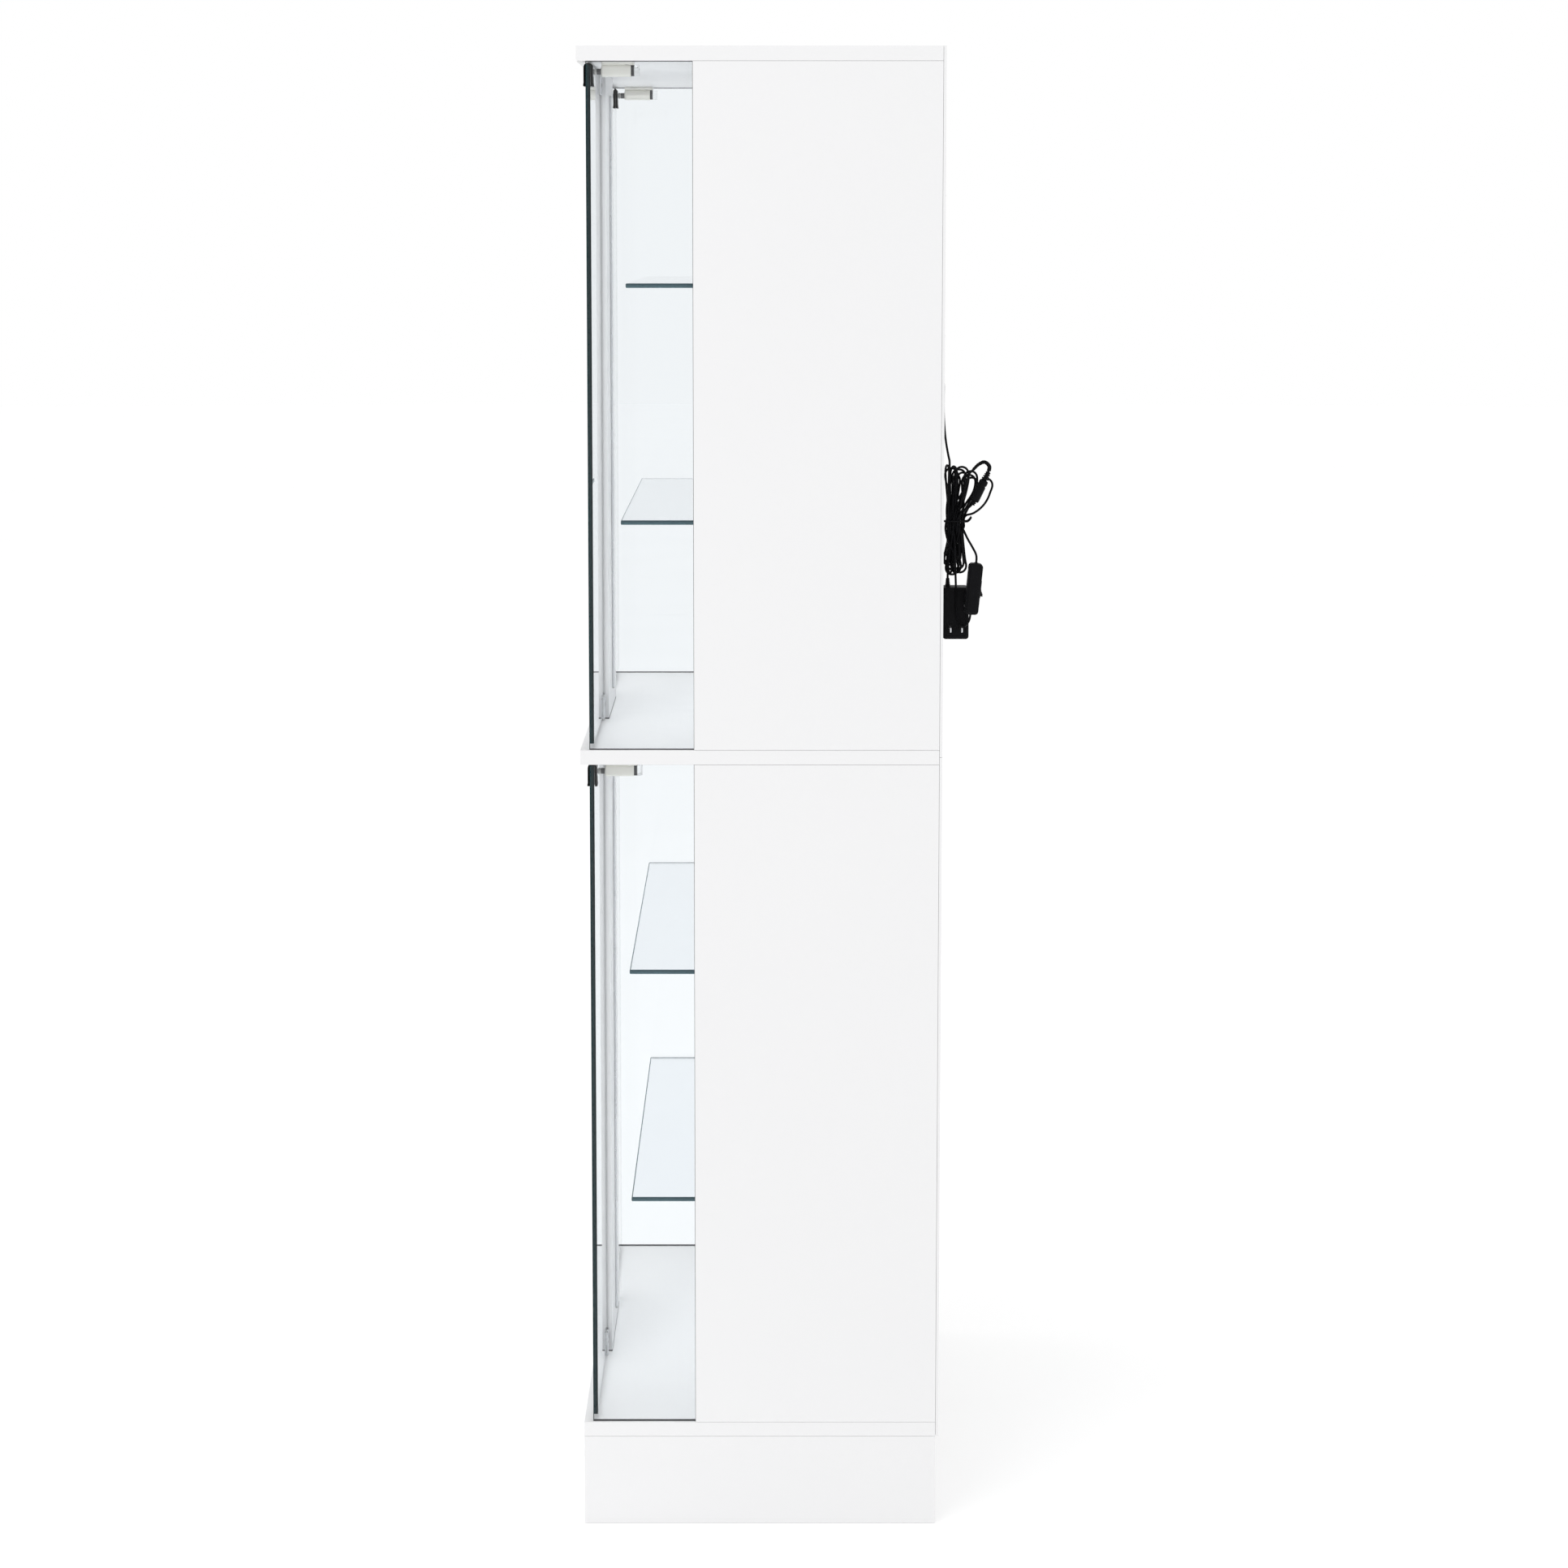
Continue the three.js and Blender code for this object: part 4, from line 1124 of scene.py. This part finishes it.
def strike_clip(tier, side):
    """The sprung black clip over the pane's top edge, and the steel plate for the catch's magnet."""
    low, high = corners(f"strike_clip_{tier}_{side}")
    edge = corners(f"door_glass_{tier}_{side}")[1][2]
    outer, inner = 5.2, 2.8
    bottom, crown, shoulder = edge - 23.5, edge + 1.6, edge - 3.4
    right = [
        (inner, bottom + 0.2), (inner + 0.7, bottom), (outer + 0.2, bottom), (outer + 0.45, bottom + 0.4),
        (outer + 0.4, bottom + 1.6), (outer + 0.05, bottom + 3.6), (outer, bottom + 5), (outer, shoulder),
    ]
    turns = np.linspace(0, math.pi, 25)[1:-1]
    dome = [(outer * math.cos(t), shoulder + (crown - shoulder) * math.sin(t)) for t in turns]
    left = [(-y, z) for y, z in right[::-1]]
    slot = [(-inner, edge + 0.1), (0.3 - inner, edge + 0.3), (inner - 0.3, edge + 0.3), (inner, edge + 0.1)]
    outline = [(DOOR_MIDDLE_Y + y, z) for y, z in right + dome + left + slot]
    middle = (low[0] + high[0]) / 2
    axis = corners(f"catch_plunger_{tier}_{side}")
    z = (axis[0][2] + axis[1][2]) / 2
    inside = DOOR_MIDDLE_Y + outer
    plate = prism(rounded_outline(middle, z, 15.0, 11.0, 1.5), "y", inside - 0.3, inside + 0.28, 0.15)
    parts = [(prism(outline, "x", low[0], high[0], 0.5, 3, 50), "clip"), (plate, "screw")]
    front = DOOR_MIDDLE_Y - outer
    for k in range(4):  # pressed ribs on the front
        x = middle - 7.5 + 5 * k
        rib = block((x - 0.5, front - 0.22, bottom + 6), (x + 0.5, front + 0.3, shoulder - 1), 0.15)
        parts.append((rib, "clip"))
    clip = piece(f"strike_{tier}_{side}", parts)
    settle(clip, f"door_{tier}_{side}", [f"strike_clip_{tier}_{side}"])


def catch_housing(tier, side):
    """A push catch: flange with screws, rounded barrel with a bored nose, dark band and clear end cap."""
    x = SIDES[side] * CATCH_X
    ceiling = corners(f"catch_housing_{tier}_{side}")[1][2]
    front, length, flange, width, height = -173.4, 35.6, 2.8, 14.0, 13.0
    rear, middle_y = front + length, front + length / 2
    under = ceiling - flange
    middle_z = under - height / 2
    axis_z = ceiling - 10.4
    count = 72

    def section(y, inset, radius=3.0):
        outline = rounded_outline(x, middle_z, width - 2 * inset, height - 2 * inset, radius, 8)
        return [(px, y, pz) for px, pz in seen_from(outline, (x, axis_z), count)]

    def circle(y, radius):
        start = section(front, 0)[0]
        first = math.atan2(start[2] - axis_z, start[0] - x)
        turn = [first + 2 * math.pi * k / count for k in range(count)]
        return [(x + radius * math.cos(t), y, axis_z + radius * math.sin(t)) for t in turn]

    band, cap_in = rear - 3.6, rear - 0.25
    nose = ((0, 4.7), (-0.5, 4.6), (-0.6, 4.45), (-0.6, 4.1), (-0.4, 3.95), (10, 3.9), (26, 3.9))
    barrel = loft([
        section(band, 1.2, 2.4), section(band, 0.25, 2.9), section(band - 0.3, 0), section(front + 1.4, 0),
        section(front + 0.6, 0.15), section(front + 0.15, 0.55), section(front, 1.1, 2.6),
        *(circle(front + y, radius) for y, radius in nose),
    ])
    dark = loft([
        section(band, 1.0, 2.4), section(band + 0.05, 0.7, 2.6), section(band + 3.3, 0.7, 2.6),
        section(rear - 0.2, 1.0, 2.4),
    ])
    cap = loft([
        section(cap_in, 0.9, 2.5), section(cap_in + 0.15, 0.6, 2.7), section(rear + 4.2, 0.6, 2.7),
        section(rear + 5.3, 1.0, 2.6), section(rear + 5.85, 1.9, 2.2), section(rear + 6, 3.0, 1.6),
    ])
    plate = prism(rounded_outline(x, middle_y, 26, length, 2.6), "z", under, ceiling, 0.35, 3)
    lip = prism(rounded_outline(x, middle_y, 15.6, length - 0.6, 1.4), "z", under - 0.7, under + 0.1, 0.3)
    parts = [(barrel, "cream"), (dark, "band"), (cap, "clear_cap"), (plate, "cream"), (lip, "cream")]
    down = Vector((0, 0, -1))
    for offset, y in ((-9.9, front + 8), (9.9, rear - 8)):
        at = Vector((x + offset, y, under))
        parts.append((turned([(3.0, -0.1), (3.0, 0.15), (2.75, 0.3), (2.4, 0.3)], at, down, 32), "cream"))
        parts.append((screw_head(at, down, 2.35, 0.75), "screw"))
    catch = piece(f"push_catch_{tier}_{side}", parts)
    settle(catch, "cabinet", [f"catch_housing_{tier}_{side}"])


def catch_plunger(tier, side):
    """The sprung plunger: a dark magnet in a pale cup, a ribbed neck and the stem into the barrel."""
    low, high = corners(f"catch_plunger_{tier}_{side}")
    axis = ((low[0] + high[0]) / 2, low[1], (low[2] + high[2]) / 2), (0, 1, 0), 36
    length = high[1] - low[1]
    magnet = turned([(0.05, 0), (2.5, 0), (2.75, 0.15), (2.8, 0.4), (2.8, 1.3)], *axis)
    cup = [
        (2.85, 0.55), (3.2, 0.45), (3.5, 0.6), (3.6, 0.95), (3.6, 2.6), (3.35, 2.85), (2.75, 2.95),
        (2.7, 3.4),
    ]
    stem = [(2.7, 3.3), (2.75, 3.5)]
    for rib in range(3):
        start = 3.6 + 1.25 * rib
        stem += [
            (3.4, start), (3.55, start + 0.15), (3.55, start + 0.65), (3.4, start + 0.8),
            (3.0, start + 0.85), (3.0, start + 1.15),
        ]
    stem += [(3.5, 7.5), (3.6, 7.7), (3.6, length - 0.4), (3.3, length)]
    parts = [(magnet, "band"), (turned(cup, *axis), "nylon"), (turned(stem, *axis), "grey")]
    plunger = piece(f"plunger_{tier}_{side}", parts)
    settle(plunger, f"plunger_{tier}_{side}", [f"catch_plunger_{tier}_{side}"])


for tier in TIERS:
    for side in SIDES:
        pivot_shoe(tier, side, "top")
        pivot_shoe(tier, side, "bottom")
        strike_clip(tier, side)
        catch_housing(tier, side)
        catch_plunger(tier, side)

# ---------- Light bars behind the centre panels ----------


def light_bar(tier):
    """A slim aluminium channel with an opal lens snapped in, and an end cap at each end."""
    (_, y, z0), (_, _, z1) = corners(f"light_bar_{tier}")
    lip, depth = 5.0, 2.05
    right = [(lip, 0), (lip, depth), (lip - 0.35, depth + 0.1), (lip - 0.75, depth), (lip - 0.75, 0.8)]
    channel = [(-u, v) for u, v in right[:1]] + right + [(-u, v) for u, v in right[:0:-1]]
    body = prism([(u, y + v) for u, v in channel], "z", z0 + 1.8, z1 - 1.8, 0.12, 2, 40)
    half = lip - 0.85
    arc = [(half * math.cos(t), 1.15 + 1.25 * math.sin(t) ** 0.8) for t in np.linspace(0, math.pi, 17)]
    crown = [(half, 0.9), *arc, (-half, 0.9)]
    parts = [(body, "metal"), (prism([(u, y + v) for u, v in crown], "z", z0 + 1.9, z1 - 1.9), "lens")]
    for bottom in (z0, z1 - 2.0):
        cap = prism(rounded_outline(0, y + 1.2, 10.4, 2.4, 0.7), "z", bottom, bottom + 2.0, 0.25)
        parts.append((cap, "nylon"))
    settle(piece(f"light_{tier}", parts, 30), "cabinet", [f"light_bar_{tier}"])


for tier in TIERS:
    light_bar(tier)

# ---------- Nails that hold the back boards ----------

NAIL_X = 392


def nail_places():
    """Along the edges of both back boards."""
    for tier in TIERS:
        low, high = corners(f"back_board_{tier}")
        levels = np.linspace(low[2] + 9, high[2] - 9, 6)
        for x in (-NAIL_X, NAIL_X):
            yield from ((x, z) for z in levels)
        for x in np.linspace(-NAIL_X, NAIL_X, 6)[1:-1]:
            yield from ((x, z) for z in (levels[0], levels[-1]))


nails = []
for x, z in nail_places():
    head = [(1.9, -0.1), (1.9, 0.12), (1.6, 0.3), (0.8, 0.42), (0.05, 0.45)]
    nails.append((turned(head, (x, CORD_BACK, z), (0, 1, 0), 20), "screw"))
settle(piece("back_nails", nails), "cabinet")

# ---------- Floor, light and air ----------

FLOOR_RADIUS = 30.0
AIR_FROM = (0.9, -0.15, 0.4)
AIR_LEVELS = (0.62, 1.06)
OVERHEAD = 0.56
floor_mesh = bmesh.new()
bmesh.ops.create_circle(floor_mesh, cap_ends=True, radius=FLOOR_RADIUS, segments=128)
floor_data = bpy.data.meshes.new("floor")
floor_mesh.to_mesh(floor_data)
floor_mesh.free()
floor = placed("floor", floor_data)
floor.location = (0, 0, -0.0005)
floor_data.materials.append(MATS["floor"])


def make_air():
    """White air. The light that it gives is dimmer than it looks, and strongest from AIR_FROM."""
    world = bpy.data.worlds.new("studio")
    world.use_nodes = True
    world.cycles.sampling_method = "NONE"
    nodes, links = world.node_tree.nodes, world.node_tree.links
    seen = nodes["Background"]
    seen.inputs["Color"].default_value = (1, 1, 1, 1)
    kinds = ("Background", "TexCoord", "VectorMath", "MapRange")
    lit, place, facing, strength = (nodes.new(f"ShaderNode{kind}") for kind in kinds)
    facing.operation = "DOT_PRODUCT"
    facing.inputs[1].default_value = AIR_FROM
    for socket, number in zip(strength.inputs[1:5], (-1, 1, *AIR_LEVELS)):
        socket.default_value = number
    links.new(place.outputs["Generated"], facing.inputs[0])
    links.new(facing.outputs["Value"], strength.inputs["Value"])
    links.new(strength.outputs["Result"], lit.inputs["Strength"])
    either = by_ray(world.node_tree, ("Is Camera Ray", "Is Transmission Ray"), lit, seen)
    links.new(either, nodes["World Output"].inputs["Surface"])
    bpy.context.scene.world = world


make_air()


def soft_box(name, place, target, size, power, spread=180):
    """A rectangular lamp that shows in nothing but the light that it gives."""
    data = bpy.data.lights.new(name, "AREA")
    data.shape = "RECTANGLE"
    data.size, data.size_y = size
    data.energy = power
    data.spread = math.radians(spread)
    lamp = placed(name, data)
    lamp.location = place
    lamp.rotation_euler = (Vector(target) - Vector(place)).to_track_quat("-Z", "Y").to_euler()
    lamp.visible_camera = lamp.visible_glossy = lamp.visible_transmission = False


soft_box("key", (4.2, -2.2, 3.6), (0, 0, 0.9), (2.5, 2.5), 38)
soft_box("front", (-1.5, -4.6, 2.6), (0, 0, 0.9), (2.5, 2.5), 11)
soft_box("rim", (-3.6, 3.4, 2.8), (0, 0, 0.9), (2.5, 2.5), 14)
overhead = bpy.data.lights.new("overhead", "SUN")  # wide and even, so that the floor has no edge
overhead.energy = OVERHEAD
overhead.angle = math.radians(90)
placed("overhead", overhead).visible_glossy = False
for tier in TIERS:  # a little fill inside each tier
    floor_top, ceiling = (corner[2] * MM for corner in corners(f"centre_panel_{tier}"))
    soft_box(f"fill_down_{tier}", (0, 0, ceiling - 0.01), (0, 0, floor_top), (0.74, 0.34), 1.2, 90)
    soft_box(f"fill_up_{tier}", (0, 0, floor_top + 0.01), (0, 0, ceiling), (0.74, 0.34), 0.5, 80)
